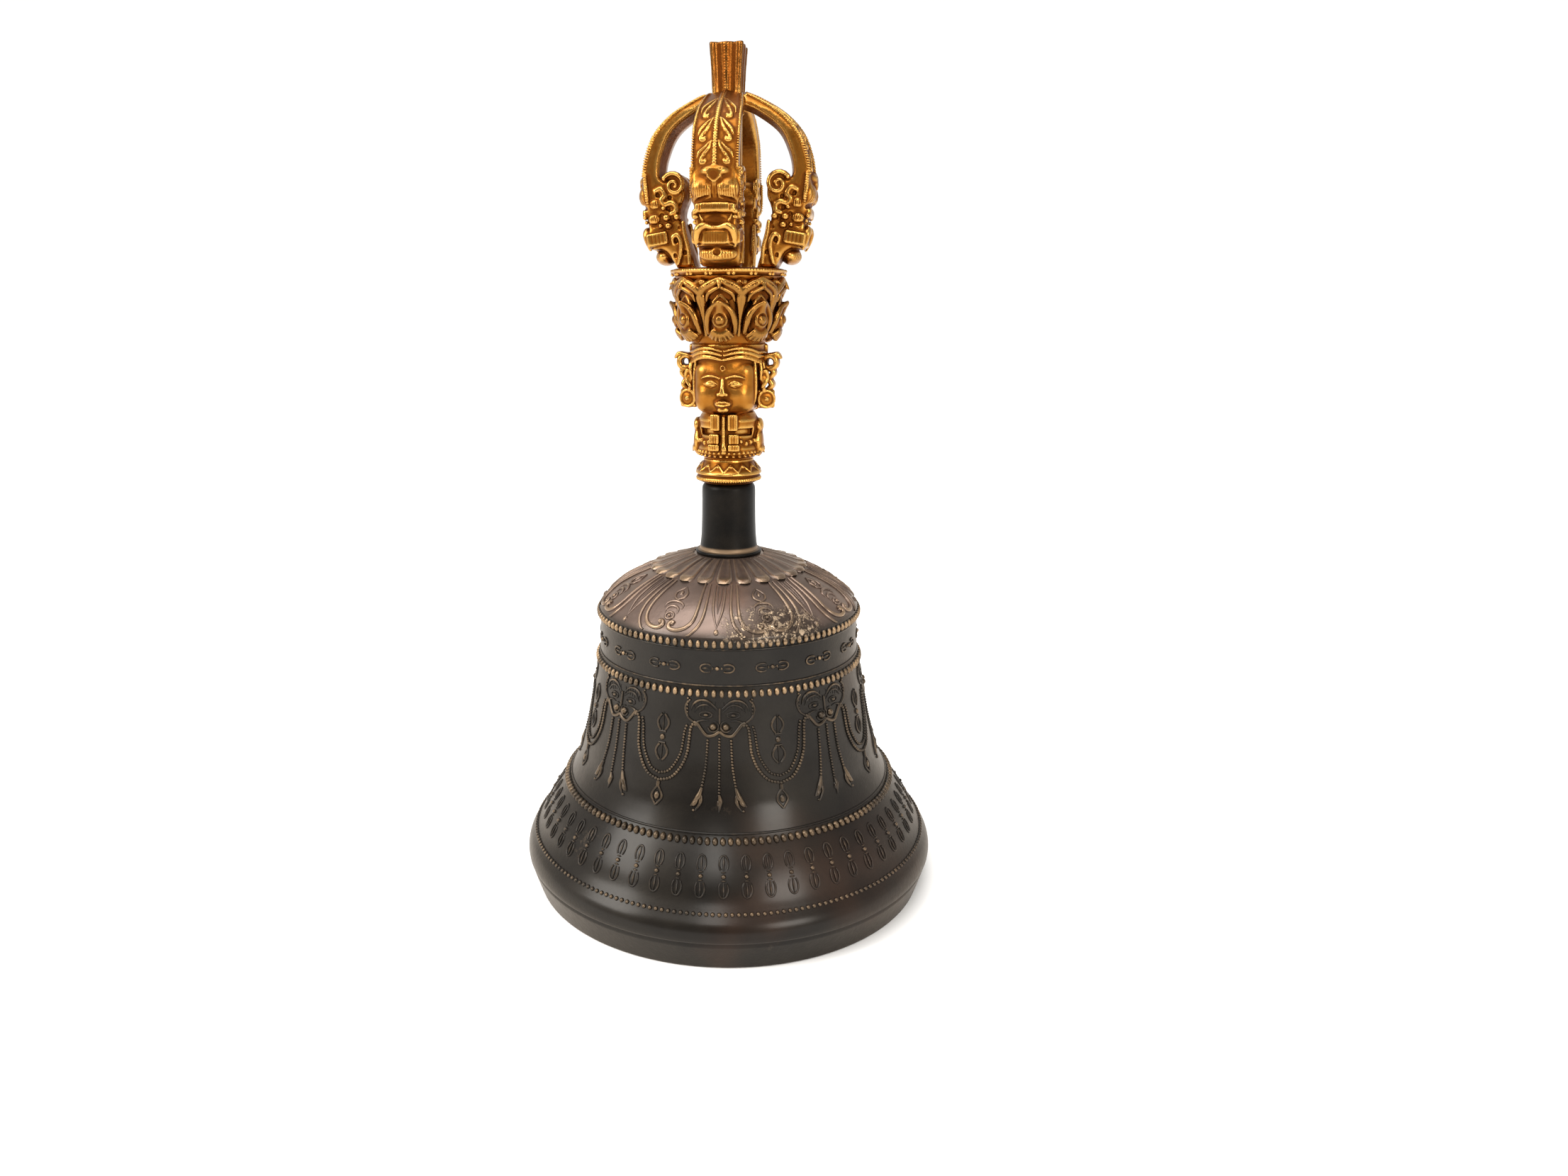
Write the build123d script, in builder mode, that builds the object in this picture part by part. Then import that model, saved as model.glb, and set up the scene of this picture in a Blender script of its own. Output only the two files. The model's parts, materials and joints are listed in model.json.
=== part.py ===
from build123d import *
import os

# Tibetan hand bell: a dark bronze bell with a gilt handle and a clapper on a swivel hanger.
# Millimetres. +Z is up along the bell's axis, the origin is the centre of the ring that the bell
# stands on, and the face on the handle looks towards -Y.

# ---------------------------------------------------------------- bell
lip_radius = 47.5  # widest turn of the lip
foot_taper = 2.2  # how far the lip draws in from its widest turn to its foot
foot_width = 3.8  # flat ring that the bell stands on
lip_swell_height = 7.5  # foot to the widest turn
lip_height = 12.2  # foot to the lip ring
lip_ring_inset = 1.9  # lip ring inside the widest turn
hem_height = 12.2  # lip ring to the hem ring
hem_radius = 37.5
hem_bulge = 0.5  # how far the hem stands over a straight cone
throat_height = 7.6  # hem ring to the throat
throat_radius = 33.9
waist_length = 29.6  # hem ring to the drum ring
waist_radius = 32.0  # at the middle of the waist
drum_radius = 29.3
drum_length = 10.4  # drum ring to the shoulder ring
shoulder_round = 2.4
dome_rise = 12.0  # shoulder ring to the seat of the neck
dome_bulge = 2.1  # how far the dome stands over a straight cone
wall = 3.0
lip_wall = 4.4  # level measure at the lip ring
crown_thickness = 3.6

# ---------------------------------------------------------------- neck sleeve
neck_radius = 5.9
neck_length = 15.9
neck_foot_radius = 7.3
neck_foot_height = 1.1
neck_round = 1.3

# ---------------------------------------------------------------- clamp tube and hanger
tube_radius = 3.2
tube_flange_radius = 6.4
tube_flange_height = 2.2
tube_reach = 11.0  # tube end above the top of the neck
shank_radius = 1.25
running_clearance = 0.08
assembly_clearance = 0.05
end_play = 0.2
collar_radius = 2.3
collar_height = 0.8
washer_radius = 2.7
washer_height = 0.8
peen_radius = 1.9
peen_height = 0.7
hanger_eye_radius = 2.8  # to the middle of the wire
hanger_wire_radius = 0.9

# ---------------------------------------------------------------- clapper
clapper_wire_radius = 0.75
eye_clearance = 0.25
clapper_rod_radius = 1.5
clapper_length = 51.0  # swing axis to the middle of the bulb
bulb_radius = 6.8
bulb_height = 12.6
bulb_seat_radius = 2.6
bulb_seat_height = 1.6
rod_head_radius = 2.1
rod_head_height = 0.8

# ---------------------------------------------------------------- handle
spigot_radius = 4.7  # waist between the neck and the handle's foot
spigot_height = 1.0
foot_rim_radius = 7.4
foot_rim_height = 1.2
foot_rise = 3.2
torso_base_radius = 5.7
torso_radius = 6.6
torso_height = 10.1
torso_top_radius = 5.4
window_width = 4.4
window_height = 1.5
window_level = 5.6  # middle of the windows above the torso's base
sleeve_reach = 8.0
sleeve_width = 4.4
sleeve_height = 7.2
head_radius = 7.4
head_height = 14.4
head_top_radius = 7.8
face_width = 12.6
face_height = 11.2
face_reach = 8.5
face_round = 2.6
earring_radius = 2.0
earring_height = 2.9
ear_reach = 8.4  # middle of the ear ornaments from the axis
ribbon_reach = 9.4  # middle of the curled ribbons from the axis
ribbon_radius = 1.6
ribbon_height = 11.6
ear_thickness = 2.4
capital_height = 13.7
capital_radius = 10.2
capital_top_radius = 11.9
petal_count = 8
petal_radius = 1.9  # at its foot
petal_taper = 7.0  # degrees that each petal opens on the way up
petal_ring_radius = 9.1  # middle of the petals from the axis
petal_collar = 1.0  # head to the petals' feet
petal_length = 8.2
plate_radius = 12.3
plate_height = 1.6

# ---------------------------------------------------------------- half vajra on the handle
prong_count = 4
prong_radius = 18.1
prong_height = 34.4
prong_thickness = 4.0
prong_half_width = 4.6
prong_foot_radius = 10.5
prong_foot_thickness = 4.4
prong_tip_thickness = 3.2
spire_neck_radius = 2.5
spire_belly_radius = 3.1
spire_half_width = 3.3
spire_top_half_width = 3.9
spire_top_length = 12.2
spire_rib_radius = 0.7
spire_above_prongs = 8.7

# ---------------------------------------------------------------- levels worked out from the sizes
hem_level = lip_height + hem_height
drum_level = hem_level + waist_length
shoulder_level = drum_level + drum_length
crown_level = shoulder_level + dome_rise
neck_top = crown_level + neck_length
tube_top = neck_top + tube_reach
crown_under = crown_level - crown_thickness
flange_under = crown_under - tube_flange_height
foot_level = neck_top
torso_level = foot_level + spigot_height + foot_rim_height + foot_rise
head_level = torso_level + torso_height
capital_level = head_level + head_height
plate_level = capital_level + capital_height
prong_level = plate_level + plate_height
spire_top = prong_level + prong_height + spire_above_prongs
bore_radius = tube_radius + assembly_clearance
hanger_bore_radius = shank_radius + running_clearance

collar_top = flange_under - end_play
hanger_eye_level = collar_top - collar_height - hanger_eye_radius
swing_level = hanger_eye_level - hanger_eye_radius
clapper_eye_radius = hanger_wire_radius + eye_clearance + clapper_wire_radius
bulb_level = swing_level - clapper_length

os.makedirs("parts", exist_ok=True)


# ---------------------------------------------------------------- bell body
# One lost-wax casting: a flared lip, a hem, a concave waist, an upright drum and a shallow dome.
foot_radius = lip_radius - foot_taper
lip_ring_radius = lip_radius - lip_ring_inset
throat_level = hem_level + throat_height
mid_waist_level = hem_level + waist_length / 2
hem_mid = ((lip_ring_radius + hem_radius) / 2 + hem_bulge, lip_height + hem_height / 2)
dome_mid = ((drum_radius + neck_foot_radius) / 2, shoulder_level + dome_rise / 2 + dome_bulge)
with BuildPart() as bell_body:
    with BuildSketch(Plane.XZ):
        with BuildLine():
            lip_curve = Spline(
                (foot_radius, 0),
                (lip_radius, lip_swell_height),
                (lip_ring_radius, lip_height),
                tangents=[(0.25, 1), (0, 1), (-1, 1.35)],
            )
            hem_curve = ThreePointArc(lip_curve @ 1, hem_mid, (hem_radius, hem_level))
            waist_curve = Spline(
                hem_curve @ 1,
                (throat_radius, throat_level),
                (waist_radius, mid_waist_level),
                (drum_radius, drum_level),
                tangents=[(-0.68, 1), (-0.12, 1)],
            )
            drum_line = Line(waist_curve @ 1, (drum_radius, shoulder_level))
            dome_curve = ThreePointArc(drum_line @ 1, dome_mid, (neck_foot_radius, crown_level))
            Polyline(dome_curve @ 1, (0, crown_level), (0, crown_under))
            seat_edge = (tube_flange_radius + 1, crown_under)
            Line((0, crown_under), seat_edge)
            inner_dome = ThreePointArc(
                seat_edge,
                (dome_mid[0] - wall / 2, dome_mid[1] - wall),
                (drum_radius - wall, shoulder_level - wall),
            )
            inner_drum = Line(inner_dome @ 1, (drum_radius - wall, drum_level))
            inner_waist = Spline(
                inner_drum @ 1,
                (waist_radius - wall, mid_waist_level),
                (throat_radius - wall, throat_level),
                (hem_radius - wall, hem_level),
                (lip_ring_radius - lip_wall, lip_height),
                (foot_radius - foot_width, 0),
                tangents=[(0.12, -1), (0.1, -1)],
            )
            Line(inner_waist @ 1, (foot_radius, 0))
        make_face()
    revolve(axis=Axis.Z)
    shoulder_edge = bell_body.edges().filter_by(GeomType.CIRCLE).filter_by(
        lambda e: abs(e.center().Z - shoulder_level) < 0.01 and e.radius > drum_radius - 0.1
    )
    fillet(shoulder_edge, shoulder_round)
    with Locations((0, 0, crown_under)):
        Cylinder(
            bore_radius,
            crown_thickness,
            align=(Align.CENTER, Align.CENTER, Align.MIN),
            mode=Mode.SUBTRACT,
        )
bell_body.part.label = "bell_body"
export_step(bell_body.part, "parts/bell_body.step")

# ---------------------------------------------------------------- neck sleeve
# A turned bronze tube with a footing ring, slipped over the clamp tube between the bell and the handle.
with BuildPart() as neck_sleeve:
    with BuildSketch(Plane.XZ):
        with BuildLine():
            Polyline(
                (bore_radius, crown_level),
                (neck_foot_radius, crown_level),
                (neck_foot_radius, crown_level + neck_foot_height),
                (neck_radius, crown_level + 2 * neck_foot_height),
                (neck_radius, neck_top),
                (bore_radius, neck_top),
                close=True,
            )
        make_face()
    revolve(axis=Axis.Z)
    fillet(
        neck_sleeve.edges().filter_by(GeomType.CIRCLE).group_by(Axis.Z)[-1].sort_by(SortBy.RADIUS)[-1:],
        neck_round,
    )
neck_sleeve.part.label = "neck_sleeve"
export_step(neck_sleeve.part, "parts/neck_sleeve.step")

# ---------------------------------------------------------------- clamp tube
# A flanged brass tube: its flange bears under the crown and its upper end is screwed into the handle.
with BuildPart() as clamp_tube:
    with BuildSketch(Plane.XZ):
        with BuildLine():
            Polyline(
                (hanger_bore_radius, flange_under),
                (tube_flange_radius, flange_under),
                (tube_flange_radius, crown_under),
                (tube_radius, crown_under),
                (tube_radius, tube_top),
                (hanger_bore_radius, tube_top),
                close=True,
            )
        make_face()
    revolve(axis=Axis.Z)
    chamfer(clamp_tube.edges().group_by(Axis.Z)[0].sort_by(SortBy.RADIUS)[-1:], 0.6)
clamp_tube.part.label = "clamp_tube"
export_step(clamp_tube.part, "parts/clamp_tube.step")

# ---------------------------------------------------------------- clapper hanger
# A forged eye whose shank turns in the clamp tube; a collar below and a peened washer above keep it in.
washer_level = tube_top + end_play
shank_top = washer_level + washer_height
with BuildPart() as clapper_hanger:
    with BuildSketch(Plane.XZ):
        with BuildLine():
            Polyline(
                (0, collar_top - collar_height),
                (collar_radius, collar_top - collar_height),
                (collar_radius, collar_top),
                (shank_radius, collar_top),
                (shank_radius, shank_top),
                (peen_radius, shank_top),
                (peen_radius - 0.5, shank_top + peen_height),
                (0, shank_top + peen_height),
                close=True,
            )
        make_face()
    revolve(axis=Axis.Z)
    with Locations(Location((0, 0, hanger_eye_level), (90, 0, 0))):
        Torus(hanger_eye_radius, hanger_wire_radius)
clapper_hanger.part.label = "clapper_hanger"
export_step(clapper_hanger.part, "parts/clapper_hanger.step")

with BuildPart() as hanger_washer:
    with BuildSketch(Plane.XY.offset(washer_level)):
        Circle(washer_radius)
        Circle(shank_radius, mode=Mode.SUBTRACT)
    extrude(amount=washer_height)
hanger_washer.part.label = "hanger_washer"
export_step(hanger_washer.part, "parts/hanger_washer.step")

# ---------------------------------------------------------------- clapper rod
# A forged iron rod: an eye bent round the hanger's wire at the top, a peened head under the bulb.
rod_top = swing_level - clapper_eye_radius
bulb_base = bulb_level - bulb_height / 2
bulb_crest = bulb_level + bulb_height / 2
with BuildPart() as clapper_rod:
    with BuildSketch(Plane.XZ):
        with BuildLine():
            Polyline(
                (0, bulb_base - rod_head_height),
                (rod_head_radius - 0.5, bulb_base - rod_head_height),
                (rod_head_radius, bulb_base),
                (clapper_rod_radius, bulb_base),
                (clapper_rod_radius, rod_top - 2),
                (clapper_wire_radius, rod_top),
                (0, rod_top),
                close=True,
            )
        make_face()
    revolve(axis=Axis.Z)
    with Locations(Location((0, 0, swing_level), (0, 90, 0))):
        Torus(clapper_eye_radius, clapper_wire_radius)
clapper_rod.part.label = "clapper_rod"
export_step(clapper_rod.part, "parts/clapper_rod.step")

# ---------------------------------------------------------------- clapper bulb
# The striker: a turned pear-shaped weight threaded on the rod.
with BuildPart() as clapper_bulb:
    with BuildSketch(Plane.XZ):
        with BuildLine():
            belly = Spline(
                (bulb_seat_radius, bulb_base),
                (bulb_radius, bulb_level - bulb_height / 8),
                (bulb_seat_radius, bulb_crest),
                tangents=[(1, 0.15), (-1, 0.9)],
            )
            Polyline(
                belly @ 1,
                (bulb_seat_radius, bulb_crest + bulb_seat_height),
                (clapper_rod_radius, bulb_crest + bulb_seat_height),
                (clapper_rod_radius, bulb_base),
                belly @ 0,
            )
        make_face()
    revolve(axis=Axis.Z)
clapper_bulb.part.label = "clapper_bulb"
export_step(clapper_bulb.part, "parts/clapper_bulb.step")

# ---------------------------------------------------------------- handle foot
# A gilt lotus foot: a spigot on the neck, a rolled rim and a short cone.
rim_level = foot_level + spigot_height
with BuildPart() as handle_foot:
    with BuildSketch(Plane.XZ):
        with BuildLine():
            Polyline(
                (bore_radius, foot_level),
                (spigot_radius, foot_level),
                (spigot_radius, rim_level),
                (foot_rim_radius, rim_level),
                (foot_rim_radius, rim_level + foot_rim_height),
                (torso_base_radius, torso_level),
                (bore_radius, torso_level),
                close=True,
            )
        make_face()
    revolve(axis=Axis.Z)
    rim_edges = handle_foot.edges().filter_by(GeomType.CIRCLE).filter_by(
        lambda e: e.radius > foot_rim_radius - 0.1
    )
    fillet(rim_edges, foot_rim_height * 0.4)
handle_foot.part.label = "handle_foot"
export_step(handle_foot.part, "parts/handle_foot.step")

# ---------------------------------------------------------------- torso
# A vase-shaped body with four windows between hanging scarves and a sleeve at each side.
with BuildPart() as torso:
    with BuildSketch(Plane.XZ):
        with BuildLine():
            side = Spline(
                (torso_base_radius, torso_level),
                (torso_radius, torso_level + torso_height / 3),
                (torso_top_radius, head_level),
            )
            Polyline(side @ 1, (bore_radius, head_level), (bore_radius, torso_level), side @ 0)
        make_face()
    revolve(axis=Axis.Z)
    sleeve_plane = Plane.XY.offset(torso_level + 0.6)
    with BuildSketch(sleeve_plane):
        with GridLocations(2 * sleeve_reach - 3, 0, 2, 1):
            Rectangle(3, sleeve_width)
        with GridLocations(2 * torso_base_radius, 0, 2, 1):
            Rectangle(2.2, sleeve_width)
    extrude(amount=sleeve_height)
    fillet(
        torso.edges().filter_by(Axis.Z).filter_by(lambda e: abs(e.center().X) > sleeve_reach - 0.1),
        0.9,
    )
    with PolarLocations(torso_radius, 4, start_angle=45):
        with Locations((0, 0, torso_level + window_level)):
            Box(2 * torso_radius - 2 * bore_radius + 1.2, window_width, window_height, mode=Mode.SUBTRACT)
torso.part.label = "torso"
export_step(torso.part, "parts/torso.step")

# ---------------------------------------------------------------- head
# The goddess's head: a broad face, a coil of hair above it, ears with round pendants and curled ribbons.
face_level = head_level + 0.2
with BuildPart() as head:
    with BuildSketch(Plane.XZ):
        with BuildLine():
            cheek = Spline(
                (torso_top_radius, head_level),
                (head_radius, head_level + 2.6),
                (head_radius, head_level + face_height),
                (head_top_radius, capital_level),
            )
            Polyline(cheek @ 1, (0, capital_level), (0, head_level), cheek @ 0)
        make_face()
    revolve(axis=Axis.Z)
    with BuildSketch(Plane.XY.offset(face_level)):
        with Locations((0, -face_reach / 2)):
            RectangleRounded(face_width, face_reach, face_round)
    extrude(amount=face_height)
    with BuildSketch(Plane.XZ.offset(-ear_thickness / 2)):
        with Locations((0, head_level + earring_height)):
            with GridLocations(2 * ear_reach, 0, 2, 1):
                Circle(earring_radius)
        with Locations((0, head_level + ribbon_height)):
            with GridLocations(2 * ribbon_reach, 0, 2, 1):
                Circle(ribbon_radius)
        with Locations((0, (2 * head_level + earring_height + ribbon_height) / 2)):
            with GridLocations(2 * ear_reach, 0, 2, 1):
                Ellipse(1.3, 3.2)
        with GridLocations(2 * (ear_reach - 1.2), 0, 2, 1):
            with Locations((0, head_level + 7.2)):
                Rectangle(2.6, 10.4)
    extrude(amount=ear_thickness)
head.part.label = "head"
export_step(head.part, "parts/head.step")

# ---------------------------------------------------------------- lotus capital
# A ring of carved petals round a flaring core, carrying the half vajra.
petal_level = capital_level + petal_collar
with BuildPart() as capital:
    with BuildSketch(Plane.XZ):
        with BuildLine():
            flare = Spline(
                (head_top_radius, capital_level),
                (capital_radius, petal_level + petal_length / 2),
                (capital_radius + 0.2, petal_level + petal_length),
                (capital_top_radius, plate_level),
            )
            Polyline(flare @ 1, (0, plate_level), (0, capital_level), flare @ 0)
        make_face()
    revolve(axis=Axis.Z)
    with BuildSketch(Plane.XY.offset(petal_level)):
        with PolarLocations(petal_ring_radius, petal_count, start_angle=-90):
            Circle(petal_radius)
    extrude(amount=petal_length, taper=-petal_taper)
    fillet(capital.faces().filter_by(Axis.Z).group_by(Axis.Z)[1].edges(), petal_radius * 0.3)
capital.part.label = "capital"
export_step(capital.part, "parts/capital.step")

# ---------------------------------------------------------------- crown plate
# The beaded plate that the prongs stand on.
with BuildPart() as crown_plate:
    with BuildSketch(Plane.XY.offset(plate_level)):
        Circle(plate_radius)
    extrude(amount=plate_height)
    fillet(crown_plate.edges(), plate_height * 0.35)
crown_plate.part.label = "crown_plate"
export_step(crown_plate.part, "parts/crown_plate.step")

# ---------------------------------------------------------------- spire
# The axial prong: a square shaft with a belly, flaring above the prongs into a ribbed tip.
tip_base = spire_top - spire_top_length
with BuildPart() as spire:
    with BuildSketch(Plane.XZ):
        with BuildLine():
            shaft = Spline(
                (spire_belly_radius, prong_level),
                (spire_neck_radius, prong_level + 5),
                (spire_belly_radius, prong_level + 13),
                (spire_neck_radius, prong_level + 22),
                (spire_half_width, tip_base),
            )
            Polyline(shaft @ 1, (0, tip_base), (0, prong_level), shaft @ 0)
        make_face()
    revolve(axis=Axis.Z)
    with BuildSketch(Plane.XY.offset(tip_base)):
        RectangleRounded(2 * spire_half_width, 2 * spire_half_width, spire_half_width * 0.2)
    with BuildSketch(Plane.XY.offset(spire_top)):
        RectangleRounded(2 * spire_top_half_width, 2 * spire_top_half_width, spire_top_half_width * 0.2)
    loft()
spire.part.label = "spire"
export_step(spire.part, "parts/spire.step")

# ---------------------------------------------------------------- prongs
# Four curved prongs, each rising out of a sea monster's open jaws and closing on the spire.
prong_top = prong_level + prong_height
outer_line = [
    (prong_foot_radius, prong_level),
    (prong_foot_radius + 2.4, prong_level + 3.4),
    (prong_radius - 1.7, prong_level + 5.2),
    (prong_radius - 1.2, prong_level + 7.4),
    (prong_radius - 0.7, prong_level + 10.1),
    (prong_radius, prong_level + 14.2),
    (prong_radius - 0.5, prong_level + 18),
    (prong_radius - 1.1, prong_top - 12.6),
    (prong_radius - 3, prong_top - 8),
    (prong_radius - 6.8, prong_top - 4.2),
    (spire_half_width + 2.8, prong_top - 1.4),
    (spire_half_width - 0.6, prong_top),
]
inner_line = [
    (spire_half_width - 0.6, prong_top - prong_tip_thickness),
    (spire_half_width + 2.6, prong_top - prong_tip_thickness - 1.6),
    (prong_radius - prong_thickness - 3.6, prong_top - 8),
    (prong_radius - prong_thickness - 1.4, prong_top - 12.4),
    (prong_radius - prong_thickness - 0.8, prong_level + 18.6),
]
curl_line = [
    inner_line[-1],
    (prong_radius - prong_thickness - 3, prong_level + 18.5),
    (prong_radius - prong_thickness - 5.2, prong_level + 17.8),
    (prong_radius - prong_thickness - 6, prong_level + 15.6),
    (prong_radius - prong_thickness - 5.2, prong_level + 12.8),
    (prong_radius - prong_thickness - 4.8, prong_level + 10.4),
    (prong_radius - prong_thickness - 5.8, prong_level + 7),
    (prong_foot_radius - prong_foot_thickness, prong_level),
]
with BuildPart() as prong:
    with BuildSketch(Plane.XZ.offset(-prong_half_width)):
        with BuildLine():
            outer = Spline(*outer_line)
            tip = Line(outer @ 1, inner_line[0])
            inner = Spline(*inner_line)
            curl = Spline(*curl_line)
            Line(curl @ 1, outer @ 0)
        make_face()
    extrude(amount=2 * prong_half_width)
    with BuildSketch(Plane.YZ):
        with BuildLine():
            left = Spline(
                (-prong_half_width + 0.9, prong_level),
                (-prong_half_width, prong_level + 10),
                (-prong_half_width + 0.1, prong_level + 22),
                (-spire_half_width + 0.5, prong_top),
            )
            right = Spline(
                (spire_half_width - 0.5, prong_top),
                (prong_half_width - 0.1, prong_level + 22),
                (prong_half_width, prong_level + 10),
                (prong_half_width - 0.9, prong_level),
            )
            Line(left @ 1, right @ 0)
            Line(right @ 1, left @ 0)
        make_face()
    extrude(amount=prong_radius + 1, mode=Mode.INTERSECT)
    with BuildSketch(Plane.XY.offset(prong_level)):
        with BuildLine():
            Polyline((0.1, 0), (prong_radius + 1.1, prong_radius + 1), (prong_radius + 1.1, -prong_radius - 1), close=True)
        make_face()
    extrude(amount=prong_height, mode=Mode.INTERSECT)
    add(spire.part, mode=Mode.SUBTRACT)

for turn, name in enumerate(("prong_right", "prong_back", "prong_left", "prong_front")):
    with BuildPart() as placed_prong:
        with Locations(Location((0, 0, 0), (0, 0, 360 / prong_count * turn))):
            add(prong.part)
    placed_prong.part.label = name
    export_step(placed_prong.part, f"parts/{name}.step")
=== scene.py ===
import json
import math

import bpy
import numpy as np
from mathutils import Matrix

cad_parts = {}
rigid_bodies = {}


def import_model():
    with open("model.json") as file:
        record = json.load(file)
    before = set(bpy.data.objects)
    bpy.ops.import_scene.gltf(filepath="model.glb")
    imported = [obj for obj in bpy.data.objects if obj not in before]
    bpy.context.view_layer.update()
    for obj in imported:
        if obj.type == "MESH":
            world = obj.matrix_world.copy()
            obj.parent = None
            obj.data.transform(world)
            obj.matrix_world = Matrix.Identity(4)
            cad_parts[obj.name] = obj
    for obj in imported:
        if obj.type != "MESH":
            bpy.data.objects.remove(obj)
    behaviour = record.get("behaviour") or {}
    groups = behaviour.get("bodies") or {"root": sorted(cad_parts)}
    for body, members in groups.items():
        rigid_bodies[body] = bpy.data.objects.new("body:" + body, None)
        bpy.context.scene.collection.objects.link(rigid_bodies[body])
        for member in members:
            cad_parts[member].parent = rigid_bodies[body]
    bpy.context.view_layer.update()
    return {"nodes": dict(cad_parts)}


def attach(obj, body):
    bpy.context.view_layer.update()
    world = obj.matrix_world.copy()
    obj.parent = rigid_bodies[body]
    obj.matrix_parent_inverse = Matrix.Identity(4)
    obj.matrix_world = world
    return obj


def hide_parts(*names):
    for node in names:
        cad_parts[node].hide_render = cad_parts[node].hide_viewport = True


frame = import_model()

# ---------------------------------------------------------------------------------------------
# The table, the camera and the lamps.
# The bell stands on a plain pale table top, with a wide soft lamp on each side and one above,
# and the camera looks slightly down on it from a little to the right of its face.

class Socket:
    """A value on its way through a node tree, so that sums on it are written as sums."""

    def __init__(self, graph, end):
        self.graph = graph
        self.end = end

    def output(self, name):
        return Socket(self.graph, self.end.node.outputs[name])

    def sum(self, operation, *terms):
        return self.graph.add("ShaderNodeMath", {"operation": operation}, dict(enumerate(terms)))

    def __add__(self, term):
        return self.sum("ADD", self, term)

    def __sub__(self, term):
        return self.sum("SUBTRACT", self, term)

    def __rsub__(self, term):
        return self.sum("SUBTRACT", term, self)

    def __mul__(self, term):
        return self.sum("MULTIPLY", self, term)

    def __truediv__(self, term):
        return self.sum("DIVIDE", self, term)

    __radd__ = __add__
    __rmul__ = __mul__

    def from_to(self, low, high):
        """0 below low, 1 above high, with a smooth rise between."""
        settings = {"interpolation_type": "SMOOTHSTEP"}
        return self.graph.add("ShaderNodeMapRange", settings, {0: self, 1: low, 2: high})


class Graph:
    """A node tree that is being wired."""

    def __init__(self, tree):
        self.tree = tree

    def feed(self, node, sockets):
        for key, value in sockets.items():
            if isinstance(value, Socket):
                self.tree.links.new(value.end, node.inputs[key])
            else:
                node.inputs[key].default_value = value

    def add(self, kind, settings=None, sockets=None, out=0):
        node = self.tree.nodes.new(kind)
        for name, value in (settings or {}).items():
            if name == "stops":
                ramp = node.color_ramp.elements
                while len(ramp) < len(value):
                    ramp.new(0.5)
                for stop, (place, colour) in zip(ramp, value):
                    stop.position = place
                    stop.color = (*colour, 1)
            else:
                setattr(node, name, value)
        self.feed(node, sockets or {})
        return Socket(self, node.outputs[out])

    def noise(self, place, scale, detail=3.0, roughness=0.55):
        sockets = {"Vector": place, "Scale": scale, "Detail": detail, "Roughness": roughness}
        return self.add("ShaderNodeTexNoise", None, sockets)

    def tint(self, share, a, b, how="MIX"):
        a = a if isinstance(a, Socket) else (*a, 1)
        b = b if isinstance(b, Socket) else (*b, 1)
        settings = {"data_type": "RGBA", "blend_type": how}
        return self.add("ShaderNodeMix", settings, {0: share, 6: a, 7: b}, 2)


def new_finish(name, metallic, roughness):
    """A material, with the graph and the shader that it is wired with."""
    material = bpy.data.materials.new(name)
    material.use_nodes = True
    graph = Graph(material.node_tree)
    shader = material.node_tree.nodes["Principled BSDF"]
    graph.feed(shader, {"Metallic": metallic, "Roughness": roughness, "Specular IOR Level": 0.35})
    return material, graph, shader


scene = bpy.context.scene
table_paint, graph, shader = new_finish("table_paint", 0.0, 0.7)
place = graph.add("ShaderNodeTexCoord").output("Object")
felt = graph.noise(place, 3.0, 2.0)
graph.feed(
    shader, {"Base Color": graph.tint(felt.from_to(0.3, 0.7), (0.95, 0.945, 0.94), (0.93, 0.925, 0.92))}
)
table_mesh = bpy.data.meshes.new("table_top")
table_mesh.from_pydata([(-6, -6, 0), (6, -6, 0), (6, 6, 0), (-6, 6, 0)], [], [(0, 1, 2, 3)])
table_mesh.materials.append(table_paint)
table_top = bpy.data.objects.new("table_top", table_mesh)
scene.collection.objects.link(table_top)

camera_turn = math.radians(9.0)
camera_dip = 14.8
camera_reach = 0.234
camera_height = 0.1297
camera_data = bpy.data.cameras.new("camera")
camera_data.sensor_width = 36.0
frame_width = 2212.0
camera_data.lens = 1500.0 / frame_width * camera_data.sensor_width
camera_data.shift_x = 78.0 / frame_width
camera_data.clip_start = 0.01
camera = bpy.data.objects.new("camera", camera_data)
camera.location = (
    camera_reach * math.sin(camera_turn),
    -camera_reach * math.cos(camera_turn),
    camera_height,
)
camera.rotation_euler = (math.radians(90 - camera_dip), 0, camera_turn)
scene.collection.objects.link(camera)
scene.camera = camera

bell_middle = 0.09
for lamp_name, place, size, power, tint in (
    ("lamp_left", (-0.75, -0.45, 0.55), 0.45, 8.0, (1.0, 0.97, 0.92)),
    ("lamp_right", (0.65, -0.75, 0.40), 0.35, 5.2, (1.0, 0.95, 0.88)),
    ("lamp_above", (0.05, 0.15, 0.95), 0.50, 1.5, (1.0, 0.98, 0.95)),
    ("lamp_front", (0.0, -0.9, 0.75), 0.22, 2.2, (1.0, 0.96, 0.9)),
):
    lamp_data = bpy.data.lights.new(lamp_name, "AREA")
    lamp_data.size = size
    lamp_data.energy = power
    lamp_data.color = tint
    lamp = bpy.data.objects.new(lamp_name, lamp_data)
    lamp.location = place
    aim = np.array((0, 0, bell_middle)) - np.array(place)
    lamp.rotation_euler = (
        math.atan2(math.hypot(aim[0], aim[1]), -aim[2]),
        0,
        math.atan2(aim[1], aim[0]) - math.pi / 2,
    )
    scene.collection.objects.link(lamp)

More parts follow.
